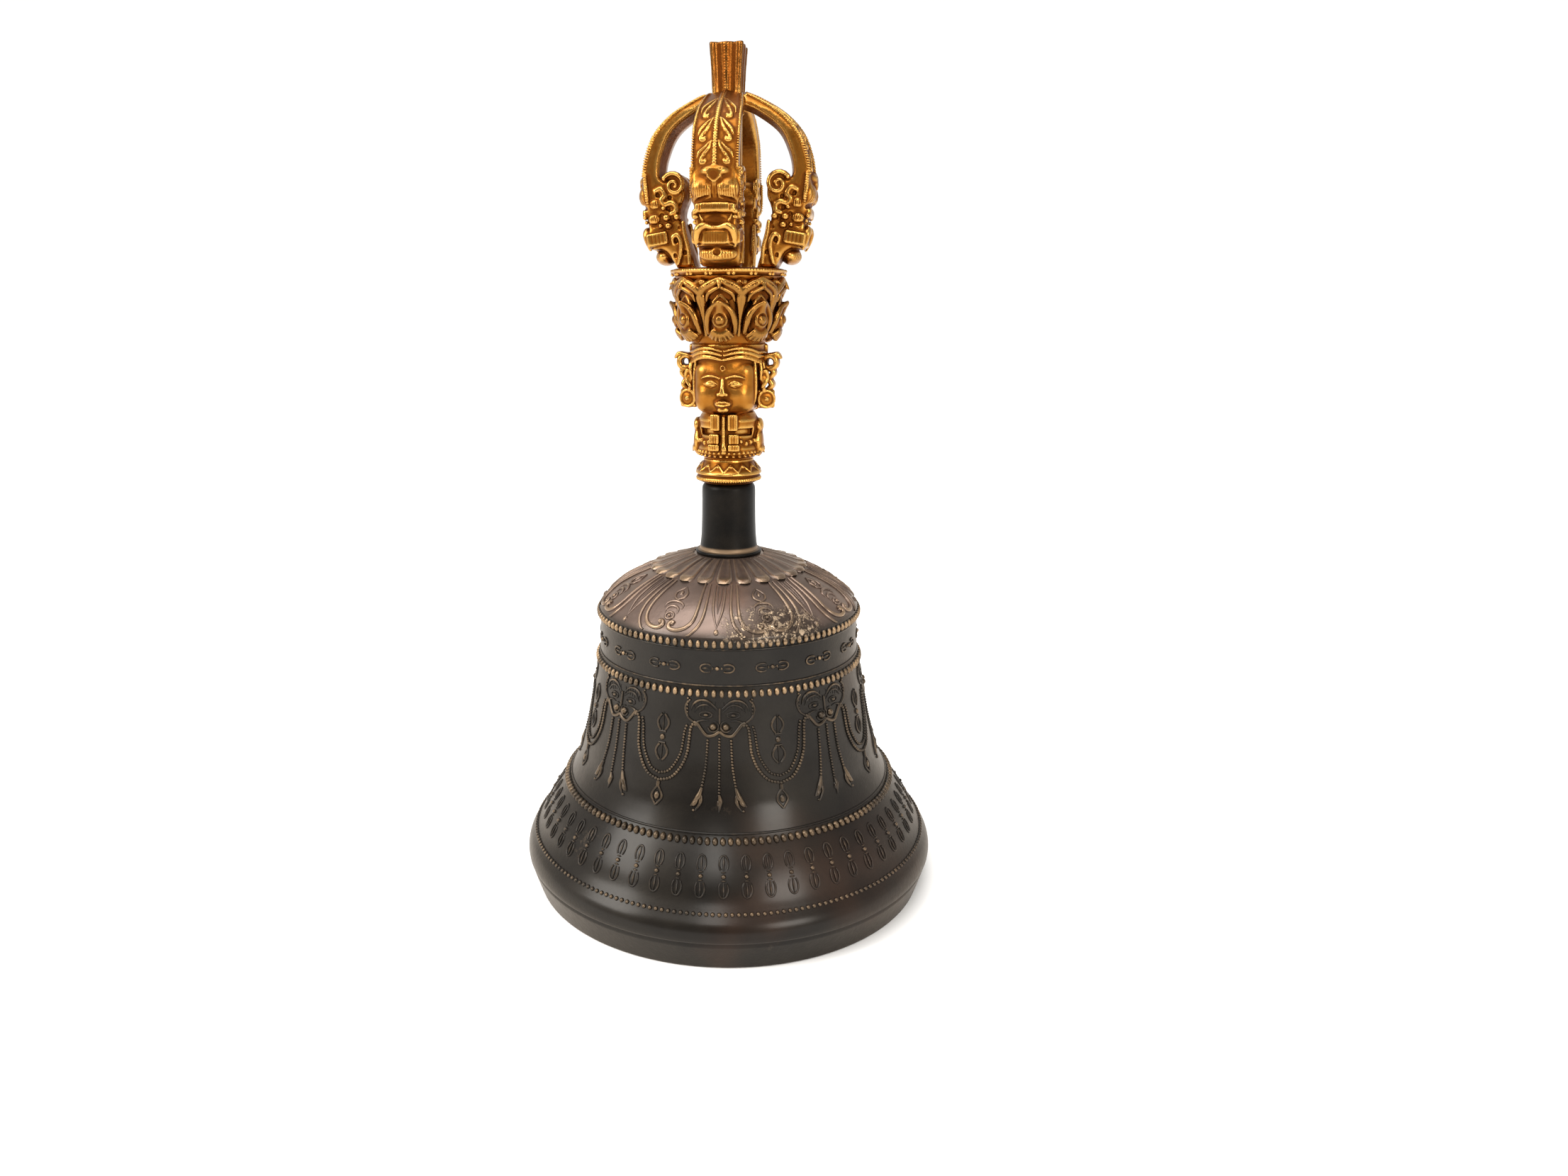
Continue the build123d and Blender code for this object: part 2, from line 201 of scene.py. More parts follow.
sun_data = bpy.data.lights.new("ceiling_light", "SUN")
sun_data.energy = 2.3
sun_data.angle = math.radians(55)
sun_data.color = (1.0, 0.99, 0.97)
sun = bpy.data.objects.new("ceiling_light", sun_data)
sun.rotation_euler = (math.radians(18), math.radians(-14), 0)
scene.collection.objects.link(sun)
scene.view_settings.view_transform = "Standard"

sky = bpy.data.worlds.new("room")
sky.use_nodes = True
graph = Graph(sky.node_tree)
way = graph.add("ShaderNodeSeparateXYZ", None, {0: graph.add("ShaderNodeTexCoord").output("Generated")})
walls = {
    "stops": [
        (0.0, (1.0, 0.99, 0.975)), (0.27, (1.0, 0.99, 0.975)), (0.55, (0.60, 0.59, 0.58)),
        (1.0, (0.50, 0.50, 0.50))
    ]
}
walls = graph.add("ShaderNodeValToRGB", walls, {0: way.output("Z")})
open_side = (0.0 - way.output("Y")).from_to(0.15, 0.8) * (1.0 - way.output("Z").from_to(0.35, 0.75))
walls = graph.tint(open_side * 0.85, walls, (0.10, 0.09, 0.08))
graph.feed(sky.node_tree.nodes["Background"], {"Color": walls, "Strength": 1.03})
scene.world = sky

# ---------------------------------------------------------------------------------------------
# The bell.
# One bronze casting, turned smooth inside and left as cast outside, with a dark patina that has a
# purple bloom on the dome, painted lighter there as painted light from above with a painted sheen,
# and is pitted where it has been knocked beside the shoulder.


bronze, graph, shader = new_finish("dark_bronze", 0.78, 0.4)
place = graph.add("ShaderNodeTexCoord").output("Object")
height = graph.add("ShaderNodeSeparateXYZ", None, {0: place}, 2)
proud = graph.add("ShaderNodeAttribute", {"attribute_name": "proud"}).output("Fac")
cloud = graph.noise(place, 55.0, 4.0)
grain = graph.noise(place, 900.0, 3.0, 0.6)
pits = graph.noise(place, 2300.0, 2.0, 0.7)
colour = graph.tint(cloud.from_to(0.35, 0.7), (0.0130, 0.0108, 0.0085), (0.0055, 0.0045, 0.0037))
colour = graph.tint(graph.noise(place, 21.0).from_to(0.52, 0.70) * 0.7, colour, (0.036, 0.018, 0.011))
# The dome: purple-brown patina, painted lighter as painted light falling from above and a painted sheen.
dome_patina_and_top_light = height.from_to(0.0640, 0.0672)
mottle = graph.noise(place, 75.0, 3.0).from_to(0.42, 0.68)
colour = graph.tint(dome_patina_and_top_light * (0.9 - mottle * 0.42), colour, (0.190, 0.133, 0.108))
# Painted shade: near-black in the crease at the foot of the raised ornament, along with dark patina there;
# weaker on the dome.
colour = graph.tint(
    proud.from_to(0.0, 0.03) * (1.0 - proud.from_to(0.08, 0.25)) * (0.9 - dome_patina_and_top_light * 0.6), colour,
    (0.006, 0.005, 0.004)
)
# Raised ornament rubbed to brass on its tops, which also stands as a painted highlight; more on the drum,
# less on the dome.
rubbed_and_highlit = (proud + (grain - 0.5) * 0.3).from_to(0.14, 0.45)
handled = height.from_to(0.0495, 0.0535) * (1.0 - dome_patina_and_top_light * 0.45)
patchy = graph.noise(place, 120.0, 2.0).from_to(0.32, 0.62) * 0.75 + 0.25
colour = graph.tint(rubbed_and_highlit * patchy * (handled * 0.55 + 0.27), colour, (0.34, 0.225, 0.125))
stretched = graph.add(
    "ShaderNodeMapping", {"vector_type": "POINT"}, {"Vector": place, "Scale": (0.72, 0.85, 1.75)}
)
knock_centre = (0.0096, -0.0205, 0.1150)
from_knock = graph.add("ShaderNodeVectorMath", {"operation": "DISTANCE"}, {0: stretched, 1: knock_centre}, 1)
knocked = (1.0 - from_knock.from_to(0.002, 0.0125)) * height.from_to(0.0634, 0.0642)
chips = graph.noise(place, 820.0, 3.0, 0.7)
ragged = knocked + (cloud - 0.5) * 1.1
colour = graph.tint(ragged.from_to(0.2, 0.7) * 0.6, colour, (0.040, 0.027, 0.018))
chipped = ragged.from_to(0.15, 0.8) * (chips + (pits - 0.5) * 0.4).from_to(0.50, 0.64)
colour = graph.tint(chipped * 0.9, colour, (0.52, 0.39, 0.265))
rough = 0.42 + grain * 0.14 - dome_patina_and_top_light * 0.13 - rubbed_and_highlit * 0.08 - chipped * 0.1
scuff = graph.add(
    "ShaderNodeBump",
    None,
    {"Strength": 0.55, "Distance": 0.00012, "Height": grain * 0.6 + pits * 0.35 + chipped * 4.0 + cloud},
)
graph.feed(
    shader,
    {
        "Base Color": colour, "Roughness": rough, "Normal": scuff, "Coat Weight": 0.3, "Coat Roughness": 0.24,
        "Specular IOR Level": 0.2, "Specular Tint": (1.0, 0.87, 0.73, 1.0)
    }
)


def smooth(points, steps=6):
    """Points along a smooth curve that passes through the given ones."""
    p = np.asarray(points, float)
    p = np.concatenate([2 * p[:1] - p[1:2], p, 2 * p[-1:] - p[-2:-1]])
    t = np.linspace(0, 1, steps, endpoint=False)[:, None]
    runs = []
    for a, b, c, d in zip(p[:-3], p[1:-2], p[2:-1], p[3:]):
        runs.append(
            0.5 * (2 * b + (c - a) * t + (2 * a - 5 * b + 4 * c - d) * t**2 + (3 * b - a - 3 * c + d) * t**3)
        )
    runs.append(p[-2:-1])
    return np.concatenate(runs)


def mesh_piece(name, points, faces, finish, marks=None):
    """A mesh in metres, with any named number at each of its points."""
    mesh = bpy.data.meshes.new(name)
    mesh.from_pydata([tuple(p) for p in np.asarray(points, float)], [], [tuple(f) for f in faces])
    for mark, values in (marks or {}).items():
        layer = mesh.attributes.new(mark, "FLOAT", "POINT")
        layer.data.foreach_set("value", np.asarray(values, np.float32))
    mesh.materials.append(finish)
    mesh.shade_smooth()
    piece = bpy.data.objects.new(name, mesh)
    scene.collection.objects.link(piece)
    return piece


def turned(name, outline, turns, finish):
    """A piece turned on a lathe from a closed outline of (radius, height), upwards on its outside."""
    outline = np.asarray(outline, float)
    angle = np.arange(turns) * 2 * math.pi / turns
    ring = np.stack([np.cos(angle), np.sin(angle)], 1)
    points = np.concatenate([np.c_[ring * r, np.full(turns, z)] for r, z in outline]) * 0.001
    faces = []
    rows = len(outline)
    for i in range(rows):
        a = i * turns
        b = (i + 1) % rows * turns
        for j in range(turns):
            k = (j + 1) % turns
            faces.append((a + j, a + k, b + k, b + j))
    return mesh_piece(name, points, faces, finish)


lip_line = smooth([(45.3, 0.25), (45.75, 1.6), (46.5, 4.0), (47.1, 6.0)], 4)
roll_line = smooth([(47.42, 7.0), (47.5, 7.9), (47.3, 9.2), (46.75, 10.5), (45.8, 11.8)], 4)
hem_line = smooth([(45.2, 12.6), (44.0, 14.4), (42.6, 17.0), (41.0, 19.6), (39.2, 22.2), (37.9, 24.0)], 5)
waist_line = smooth(
    [
        (37.2, 25.0), (35.7, 27.8), (34.5, 30.4), (33.7, 33.0), (33.0, 35.6), (32.2, 38.8), (31.5, 42.4),
        (30.8, 46.4), (30.1, 50.4), (29.65, 53.4)
    ],
    6,
)
drum_line = smooth([(29.35, 54.6), (29.2, 57.0), (29.1, 60.0), (29.05, 62.6), (29.2, 64.0)], 5)
dome_line = smooth(
    [
        (29.15, 64.9), (28.4, 66.1), (26.9, 67.6), (24.4, 69.6), (21.2, 71.4), (18.0, 72.8), (14.4, 74.3),
        (10.8, 75.5), (7.2, 76.4)
    ],
    6,
)
bell_outside = np.concatenate(
    [
        [(44.9, 0.0)], lip_line, [(46.95, 6.3), (46.95, 6.55)], roll_line, hem_line, waist_line,
        [(29.6, 53.9)], drum_line, dome_line
    ]
)
bell_inside = np.concatenate(
    [
        [(3.3, 76.4), (3.3, 72.8)],
        smooth([(7.4, 72.8), (12.0, 71.6), (16.8, 69.5), (22.0, 66.0), (25.4, 62.6), (26.3, 60.0)], 5),
        smooth(
            [
                (26.4, 54.0), (27.6, 46.0), (29.0, 39.2), (30.9, 32.0), (34.5, 24.4), (38.6, 17.6),
                (41.1, 12.2), (41.6, 6.0), (41.55, 0.4)
            ],
            6
        ),
        [(41.9, 0.0)],
    ]
)
turns = 288
bell_skin = turned("bell_skin", np.concatenate([bell_outside, bell_inside]), turns, bronze)
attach(bell_skin, "bell")
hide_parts("bell_body")

# ---------------------------------------------------------------------------------------------
# The ornament on the bell.
# Cords, pearls, thunderbolts, masks and lotus petals that stand proud of the casting. They are cast
# with it, and drawn here on the flat in millimetres, copied round and laid on its outline.

outside_steps = np.hypot(*np.diff(bell_outside, axis=0).T)
outside_length = np.concatenate([[0], np.cumsum(outside_steps)])


def along(z):
    """The way along the bell's outline, in metres, up to a height in millimetres."""
    return float(np.interp(z, bell_outside[:, 1], outside_length)) * 0.001


sheets = bpy.data.collections.new("drawings")
scene.collection.children.link(sheets)


def drawing(name, lines):
    """A curve object of lines ((points), width), in millimetres, with a width that may vary."""
    curve = bpy.data.curves.new(name, "CURVE")
    curve.dimensions = "3D"
    curve.twist_mode = "Z_UP"
    for points, width in lines:
        points = np.asarray(points, float)
        spline = curve.splines.new("POLY")
        spline.points.add(len(points) - 1)
        flat = np.zeros((len(points), 4))
        flat[:, : points.shape[1]] = points
        spline.points.foreach_set("co", flat.ravel())
        widths = np.interp(
            np.linspace(0, 1, len(points)), np.linspace(0, 1, np.size(width)), np.atleast_1d(width)
        )
        spline.points.foreach_set("radius", widths)
    sheet = bpy.data.objects.new(name, curve)
    sheets.objects.link(sheet)
    return sheet


bell_line = drawing(
    "bell_line", [(np.c_[bell_outside[:, 0], 0 * bell_outside[:, 0], bell_outside[:, 1]] * 0.001, 1.0)]
)


def ornament_tree(name, form):
    """Makes lines, pearls or bosses of a drawing, copies them round and lays them on a turned outline."""
    tree = bpy.data.node_groups.new(name, "GeometryNodeTree")
    tree.interface.new_socket("Geometry", in_out="OUTPUT", socket_type="NodeSocketGeometry")
    for label, kind in (
        ("Geometry", "Geometry"),
        ("Drawing", "Object"),
        ("Outline", "Object"),
        ("Copies", "Int"),
        ("Circle", "Float"),
        ("Level", "Float"),
        ("Turn", "Float"),
        ("Relief", "Float"),
        ("Pearl", "Float"),
        ("Finish", "Material"),
    ):
        tree.interface.new_socket(label, in_out="INPUT", socket_type="NodeSocket" + kind)
    graph = Graph(tree)
    given = graph.add("NodeGroupInput")
    shape = graph.add("GeometryNodeObjectInfo", None, {"Object": given.output("Drawing")}).output("Geometry")
    if form == "line":
        circle = graph.add(
            "GeometryNodeCurvePrimitiveCircle", {"mode": "RADIUS"}, {"Resolution": 8, "Radius": 1.0}
        )
        sockets = {
            "Curve": shape, "Profile Curve": circle, "Scale": graph.add("GeometryNodeInputRadius") * 1.2,
            "Fill Caps": True
        }
        shape = graph.add("GeometryNodeCurveToMesh", None, sockets)
    if form == "pearls":
        shape = graph.add(
            "GeometryNodeResampleCurve", {"mode": "LENGTH"}, {"Curve": shape, "Length": given.output("Pearl")}
        )
        pearl = graph.add("GeometryNodeMeshUVSphere", None, {"Segments": 8, "Rings": 5, "Radius": 1.0})
        size = graph.add("GeometryNodeInputRadius")
        shape = graph.add(
            "GeometryNodeInstanceOnPoints", None, {"Points": shape, "Instance": pearl, "Scale": size}
        )
        shape = graph.add("GeometryNodeRealizeInstances", None, {"Geometry": shape})
    flat = graph.add("GeometryNodeInputPosition")
    squash = graph.add("ShaderNodeCombineXYZ", None, {0: 1.0, 1: 1.0, 2: given.output("Relief")})
    flat = graph.add("ShaderNodeVectorMath", {"operation": "MULTIPLY"}, {0: flat, 1: squash})
    shape = graph.add("GeometryNodeSetPosition", None, {"Geometry": shape, "Position": flat})
    spot = graph.add("ShaderNodeSeparateXYZ", None, {0: graph.add("GeometryNodeInputPosition")})
    settings = {"data_type": "FLOAT", "domain": "POINT"}
    sockets = {"Geometry": shape, "Name": "proud", "Value": spot.output("Z")}
    shape = graph.add("GeometryNodeStoreNamedAttribute", settings, sockets)
    step = given.output("Circle") * (2 * math.pi) / given.output("Copies")
    step = graph.add("ShaderNodeCombineXYZ", None, {0: step})
    row = graph.add("GeometryNodeMeshLine", None, {"Count": given.output("Copies"), "Offset": step})
    shape = graph.add("GeometryNodeInstanceOnPoints", None, {"Points": row, "Instance": shape})
    shape = graph.add("GeometryNodeRealizeInstances", None, {"Geometry": shape})
    spot = graph.add("ShaderNodeSeparateXYZ", None, {0: graph.add("GeometryNodeInputPosition")})
    outline = graph.add(
        "GeometryNodeObjectInfo", None, {"Object": given.output("Outline")}
    ).output("Geometry")
    way = given.output("Level") + spot.output("Y") * 0.001
    found = graph.add("GeometryNodeSampleCurve", {"mode": "LENGTH"}, {"Curves": outline, "Length": way})
    there = graph.add("ShaderNodeSeparateXYZ", None, {0: found.output("Position")})
    slope = graph.add("ShaderNodeSeparateXYZ", None, {0: found.output("Tangent")})
    out = spot.output("Z") * 0.001
    radius = there + out * slope.output("Z")
    level = there.output("Z") - out * slope
    angle = spot / given.output("Circle") + given.output("Turn")
    around = {0: radius * angle.sum("SINE", angle), 1: 0.0 - radius * angle.sum("COSINE", angle), 2: level}
    laid = graph.add("ShaderNodeCombineXYZ", None, around)
    shape = graph.add("GeometryNodeSetPosition", None, {"Geometry": shape, "Position": laid})
    shape = graph.add("GeometryNodeSetShadeSmooth", None, {"Geometry": shape})
    shape = graph.add(
        "GeometryNodeSetMaterial", None, {"Geometry": shape, "Material": given.output("Finish")}
    )
    last = tree.nodes.new("NodeGroupOutput")
    graph.feed(last, {0: shape})
    return tree


line_tree = ornament_tree("raised_lines", "line")
pearl_tree = ornament_tree("raised_pearls", "pearls")
boss_tree = ornament_tree("raised_bosses", "boss")


def lay(name, tree, sheet, copies, circle, level, turn=0.0, relief=0.8, pearl=0.6, finish=bronze):
    """Runs an ornament tree once and keeps its plain mesh."""
    host = bpy.data.objects.new(name, bpy.data.meshes.new(name))
    scene.collection.objects.link(host)
    modifier = host.modifiers.new("ornament", "NODES")
    modifier.node_group = tree
    given = {
        "Drawing": sheet,
        "Outline": bell_line,
        "Copies": copies,
        "Circle": float(circle),
        "Level": float(level),
        "Turn": float(turn),
        "Relief": float(relief),
        "Pearl": float(pearl),
        "Finish": finish,
    }
    for item in tree.interface.items_tree:
        if item.item_type == "SOCKET" and item.in_out == "INPUT" and item.name in given:
            modifier[item.identifier] = given[item.name]
    settled = host.evaluated_get(bpy.context.evaluated_depsgraph_get())
    mesh = bpy.data.meshes.new_from_object(settled)
    host.modifiers.remove(modifier)
    host.data = mesh
    mesh.name = name
    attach(host, "bell")
    return host


def mirrored(lines):
    """Lines and their images across x = 0."""
    return lines + [(np.asarray(p) * ([-1.0, 1.0] + [1.0] * (np.shape(p)[1] - 2)), w) for p, w in lines]


def boss_sheet(name, bosses):
    """A flat drawing of rounded bosses: (x, y, half width, half height, turn in degrees, height)."""
    points = []
    faces = []
    for x, y, a, b, turn, rise in bosses:
        start = len(points)
        c, s = math.cos(math.radians(turn)), math.sin(math.radians(turn))
        points.append((x, y, rise))
        for ring, lift in ((0.45, 0.9), (0.8, 0.6), (1.0, -0.1)):
            for k in range(10):
                t = k * math.pi / 5
                u, v = a * ring * math.cos(t), b * ring * math.sin(t)
                points.append((x + u * c - v * s, y + u * s + v * c, rise * lift))
        for k in range(10):
            m = (k + 1) % 10
            faces.append((start, start + 1 + k, start + 1 + m))
            for r in (0, 10):
                faces.append((start + 1 + r + k, start + 11 + r + k, start + 11 + r + m, start + 1 + r + m))
    mesh = bpy.data.meshes.new(name)
    mesh.from_pydata(points, [], faces)
    sheet = bpy.data.objects.new(name, mesh)
    sheets.objects.link(sheet)
    return sheet


def arc(x, y, a, b, start, end, steps=12):
    """Points on an ellipse between two angles in degrees."""
    t = np.radians(np.linspace(start, end, steps))
    return np.c_[x + a * np.cos(t), y + b * np.sin(t)]


# Rings of pearls: at the lip, above the hem, below the drum and under the dome's edge.
relief_turn = math.radians(5.5)
oval_pearl = boss_sheet("oval_pearl", [(0, 0, 0.56, 0.95, 0, 0.75)])
hem_pearl = boss_sheet("hem_pearl", [(0, 0, 0.66, 0.95, 6, 0.85)])
lip_pearl = boss_sheet("lip_pearl", [(0, 0, 0.5, 0.5, 0, 0.45)])
lay("shoulder_pearls", boss_tree, oval_pearl, copies=112, circle=29.2, level=along(63.7), relief=1.0)
lay("drum_pearls", boss_tree, oval_pearl, copies=114, circle=29.6, level=along(53.3), relief=1.0)
lay("hem_pearls", boss_tree, hem_pearl, copies=150, circle=37.6, level=along(24.3), relief=1.0)
lay("lip_pearls", boss_tree, lip_pearl, copies=218, circle=45.5, level=along(12.3), relief=1.0)
cord_sheet = drawing("plain_cords", [([(x, 0) for x in np.linspace(0, 2 * math.pi * 30, 240)], 0.22)])
lay("shoulder_cord", line_tree, cord_sheet, copies=1, circle=30.0, level=along(62.5), relief=0.7)
lay("drum_cord", line_tree, cord_sheet, copies=1, circle=30.0, level=along(54.9), relief=0.9)
lay("hem_cord", line_tree, cord_sheet, copies=1, circle=30.0, level=along(25.6), relief=0.7)

# Thunderbolts lying round the drum.
bolt_half = [
    (arc(-2.2, 0, 1.3, 0.88, 50, 310, 20), 0.2),
    ([(-3.3, 0), (-2.5, 0.02), (-1.35, 0)], [0.1, 0.22, 0.12]),
]
lying_bolt = drawing("lying_bolt", mirrored(bolt_half) + [([(-0.9, 0), (0.9, 0)], 0.15)])
bolt_turn = relief_turn + math.radians(-1.1)
lay(
    "drum_bolts", line_tree, lying_bolt, copies=16, circle=29.2, level=along(58.6), turn=bolt_turn, relief=1.1
)
bolt_knot = boss_sheet(
    "bolt_knot", [(0, 0, 0.5, 0.5, 0, 0.55), (-0.95, 0, 0.2, 0.42, 0, 0.32), (0.95, 0, 0.2, 0.42, 0, 0.32)]
)
lay("drum_knots", boss_tree, bolt_knot, copies=16, circle=29.2, level=along(58.6), turn=bolt_turn, relief=1.0)

# Thunderbolts standing round the hem.
hem_half = [
    (arc(0, 2.55, 0.95, 1.65, -50, 230, 16), 0.19),
    ([(0, 4.3), (0, 2.6), (0, 1.2)], [0.12, 0.24, 0.16]),
]
hem_bolt = drawing("hem_bolt", hem_half + [(np.asarray(p) * [1, -1], w) for p, w in hem_half])
lay("hem_bolts", line_tree, hem_bolt, copies=56, circle=41.6, level=along(18.6), turn=0.02, relief=1.0)
hem_knot = boss_sheet(
    "hem_knot", [(0, 0, 0.55, 0.5, 0, 0.5), (0, 0.85, 0.6, 0.2, 0, 0.3), (0, -0.85, 0.6, 0.2, 0, 0.3)]
)
lay("hem_knots", boss_tree, hem_knot, copies=56, circle=41.6, level=along(18.6), turn=0.02, relief=1.0)

# Garlands hung between masks round the waist: double pearl cords, tassels and drops.
waist_circle = 31.0
between_masks = -12.17
swag = smooth(
    [
        (-5.2, -6.0), (-6.0, -7.2), (-6.25, -9.8), (-6.6, -12.8), (-7.8, -15.8), (-9.7, -18.1),
        (between_masks, -19.0)
    ],
    8
)
inner_swag = smooth(
    [
        (-6.9, -6.9), (-7.3, -8.2), (-7.5, -10.0), (-7.9, -12.6), (-8.9, -14.9), (-10.3, -16.8),
        (between_masks, -17.5)
    ],
    8
)
under_mask = smooth([(-5.2, -6.0), (-4.6, -6.3), (-3.9, -7.2), (-2.6, -8.6), (-1.2, -8.5), (0, -7.7)], 6)
strand_left = smooth([(-2.4, -9.6), (-2.5, -12.5), (-2.7, -15.5), (-3.3, -19.6)], 8)
strand_tail = smooth([(-3.3, -19.6), (-3.9, -21.4), (-5.2, -23.4)], 6)
middle_strand = np.array([(0, -9.2), (0.05, -14.0), (0.1, -21.0)])
garland = mirrored([(swag, 0.42), (inner_swag, 0.36), (strand_left, 0.36)]) + [(middle_strand, 0.34)]
garland += mirrored([(smooth([(-6.85, -1.1), (-6.95, -2.8), (-6.85, -4.7)], 5), 0.3)])
lay(
    "garland_pearls", pearl_tree, drawing("garland", garland), copies=8, circle=waist_circle,
    level=along(53.2), turn=relief_turn, relief=1.1, pearl=0.62
)
mask_lines = [
    (under_mask, 0.34),
    (smooth([(-6.3, -1.3), (-7.2, -2.4), (-7.3, -3.6), (-6.7, -5.0), (-5.5, -5.95)], 6), 0.24),
    (
        smooth([(-6.2, -3.6), (-5.6, -2.2), (-4.2, -1.35), (-2.4, -1.5), (-0.5, -3.1)], 6),
        [0.12, 0.26, 0.26, 0.14]
    ),
    (smooth([(-5.4, -3.9), (-4.7, -2.9), (-3.6, -2.3), (-2.3, -2.4), (-0.7, -3.7)], 6), [0.1, 0.2, 0.2, 0.1]),
    (arc(-2.9, -4.35, 1.35, 0.62, 0, 360, 20), 0.17),
    (arc(-1.35, -6.7, 1.1, 1.1, 100, -170, 14), [0.12, 0.26, 0.2]),
    (smooth([(-2.2, -5.6), (-3.4, -5.5), (-4.6, -5.9), (-4.9, -6.8), (-4.1, -7.1)], 5), [0.1, 0.26, 0.16]),
    (strand_tail, [0.3, 0.5, 0.2]),
    (smooth([(-3.6, -20.4), (-3.3, -21.6), (-3.6, -23.0), (-4.4, -24.4)], 6), [0.2, 0.36, 0.16]),
]
for k in range(7):
    lean = (k - 3) * 0.08
    mask_lines.append(
        ([(-5.3 + 0.7 * k, -3.2 - 0.25 * math.sin(k)), (-5.3 + 0.7 * k + lean, -1.6)], [0.08, 0.16, 0.07])
    )
mask_lines = mirrored(mask_lines)
mask_lines.append(([(0, -2.9), (0, -6.1)], 0.24))
mask_lines.append((smooth([(0.1, -20.8), (0.35, -22.2), (0.1, -24.4)], 5), [0.24, 0.45, 0.12]))
mask_lines += [(np.asarray([(between_masks, -19.3), (between_masks, -20.3)]), 0.36)]
mask_lines += [
    (smooth([(between_masks, -20.2), (-11.35, -21.5), (-11.15, -22.7), (between_masks, -24.3)], 5), 0.24)
]
mask_lines += [
    (smooth([(between_masks, -20.2), (-12.99, -21.5), (-13.19, -22.7), (between_masks, -24.3)], 5), 0.24)
]
lobe = [
    (
        np.c_[between_masks + 1.3 * np.sin(np.linspace(0.25, 2.75, 12)), -5.1 - 3.4 * np.linspace(0, 1, 12)],
        0.25
    ),
    (
        np.c_[between_masks - 1.3 * np.sin(np.linspace(0.25, 2.75, 12)), -5.1 - 3.4 * np.linspace(0, 1, 12)],
        0.25
    ),
    ([(between_masks, -4.7), (between_masks, -8.6)], [0.14, 0.3, 0.2]),
    ([(-12.9, -8.75), (-11.44, -8.75)], 0.22),
]
mask_lines += lobe + [(np.asarray(p) * [1, -1] + [0, -19.9], w) for p, w in lobe]
lay(
    "mask_lines", line_tree, drawing("mask_drawing", mask_lines), copies=8, circle=waist_circle,
    level=along(53.2), turn=relief_turn, relief=1.05
)
mask_bosses = [
    (0, -22.6, 0.4, 0.9, 0, 0.4), (between_masks, -22.3, 0.62, 1.0, 0, 0.5),
    (between_masks, -9.95, 0.62, 0.75, 0, 0.55)
]
for side in (-1, 1):
    mask_bosses += [
        (side * 1.35, -6.75, 0.78, 0.78, 0, 0.85),
        (side * 2.9, -4.35, 0.62, 0.36, 0, 0.42),
        (side * 4.4, -22.6, 0.5, 1.1, side * 28, 0.5),
        (side * 5.0, -6.5, 0.5, 0.42, 0, 0.4),
        (side * 4.6, -24.2, 0.35, 0.35, 0, 0.4),
    ]
lay(
    "mask_bosses", boss_tree, boss_sheet("mask_boss_sheet", mask_bosses), copies=8, circle=waist_circle,
    level=along(53.2), turn=relief_turn, relief=1.0
)

# Lotus petals on the dome: a collar of fluted ones round the neck, and eight large ones below it,
# each with a plain bud ornament. Heights run up from the shoulder.
dome_level = along(64.6)
dome_circle = 26.0
half_petal = 10.21
petal = [
    (
        smooth(
            [
                (-5.3, 14.9), (-5.6, 10.4), (-5.7, 6.6), (-5.3, 3.9), (-4.1, 2.2), (-2.5, 1.55), (-1.1, 1.75),
                (-0.65, 2.6), (-1.15, 3.3), (-1.7, 3.0)
            ],
            6
        ),
        [0.3, 0.36, 0.4, 0.44, 0.36]
    ),
    (
        smooth([(-6.9, 14.9), (-7.3, 10.2), (-7.35, 6.0), (-6.7, 3.0), (-5.4, 1.0), (-4.6, 0.5)], 6),
        [0.26, 0.32, 0.32, 0.2]
    ),
    (smooth([(-8.7, 14.7), (-8.9, 10.4), (-9.25, 6.6), (-half_petal, 2.6)], 5), [0.16, 0.28, 0.26, 0.12]),
    (smooth([(-9.6, 14.2), (-9.8, 10.4), (-half_petal, 6.0)], 4), [0.1, 0.18, 0.08]),
]
bud = [
    (smooth([(0, 13.2), (-1.5, 11.4), (-1.3, 9.9), (0, 9.0)], 6), [0.2, 0.3, 0.24]),
    (arc(0, 7.1, 2.2, 1.5, 90, 200, 10), [0.3, 0.28, 0.1]),
    (arc(0, 5.9, 1.5, 1.3, 90, 205, 10), [0.3, 0.26, 0.1]),
    (arc(0, 4.7, 0.95, 0.85, 90, 270, 10), 0.24),
]
dome_sheet = drawing("dome_lines", mirrored(petal + bud))
dome_turn = relief_turn + math.radians(-24.2)
lay(
    "dome_petals", line_tree, dome_sheet, copies=8, circle=dome_circle, level=dome_level, turn=dome_turn,
    relief=1.0
)
bud_sheet = boss_sheet(
    "dome_boss_sheet",
    [
        (0, 4.7, 0.4, 0.4, 0, 0.5), (half_petal, 1.6, 0.5, 0.75, 0, 0.4), (-1.35, 2.75, 0.45, 0.4, 0, 0.5),
        (1.35, 2.75, 0.45, 0.4, 0, 0.5), (0, 11.1, 0.45, 0.9, 0, 0.4)
    ],
)
lay(
    "dome_bosses", boss_tree, bud_sheet, copies=8, circle=dome_circle, level=dome_level, turn=dome_turn,
    relief=1.0
)

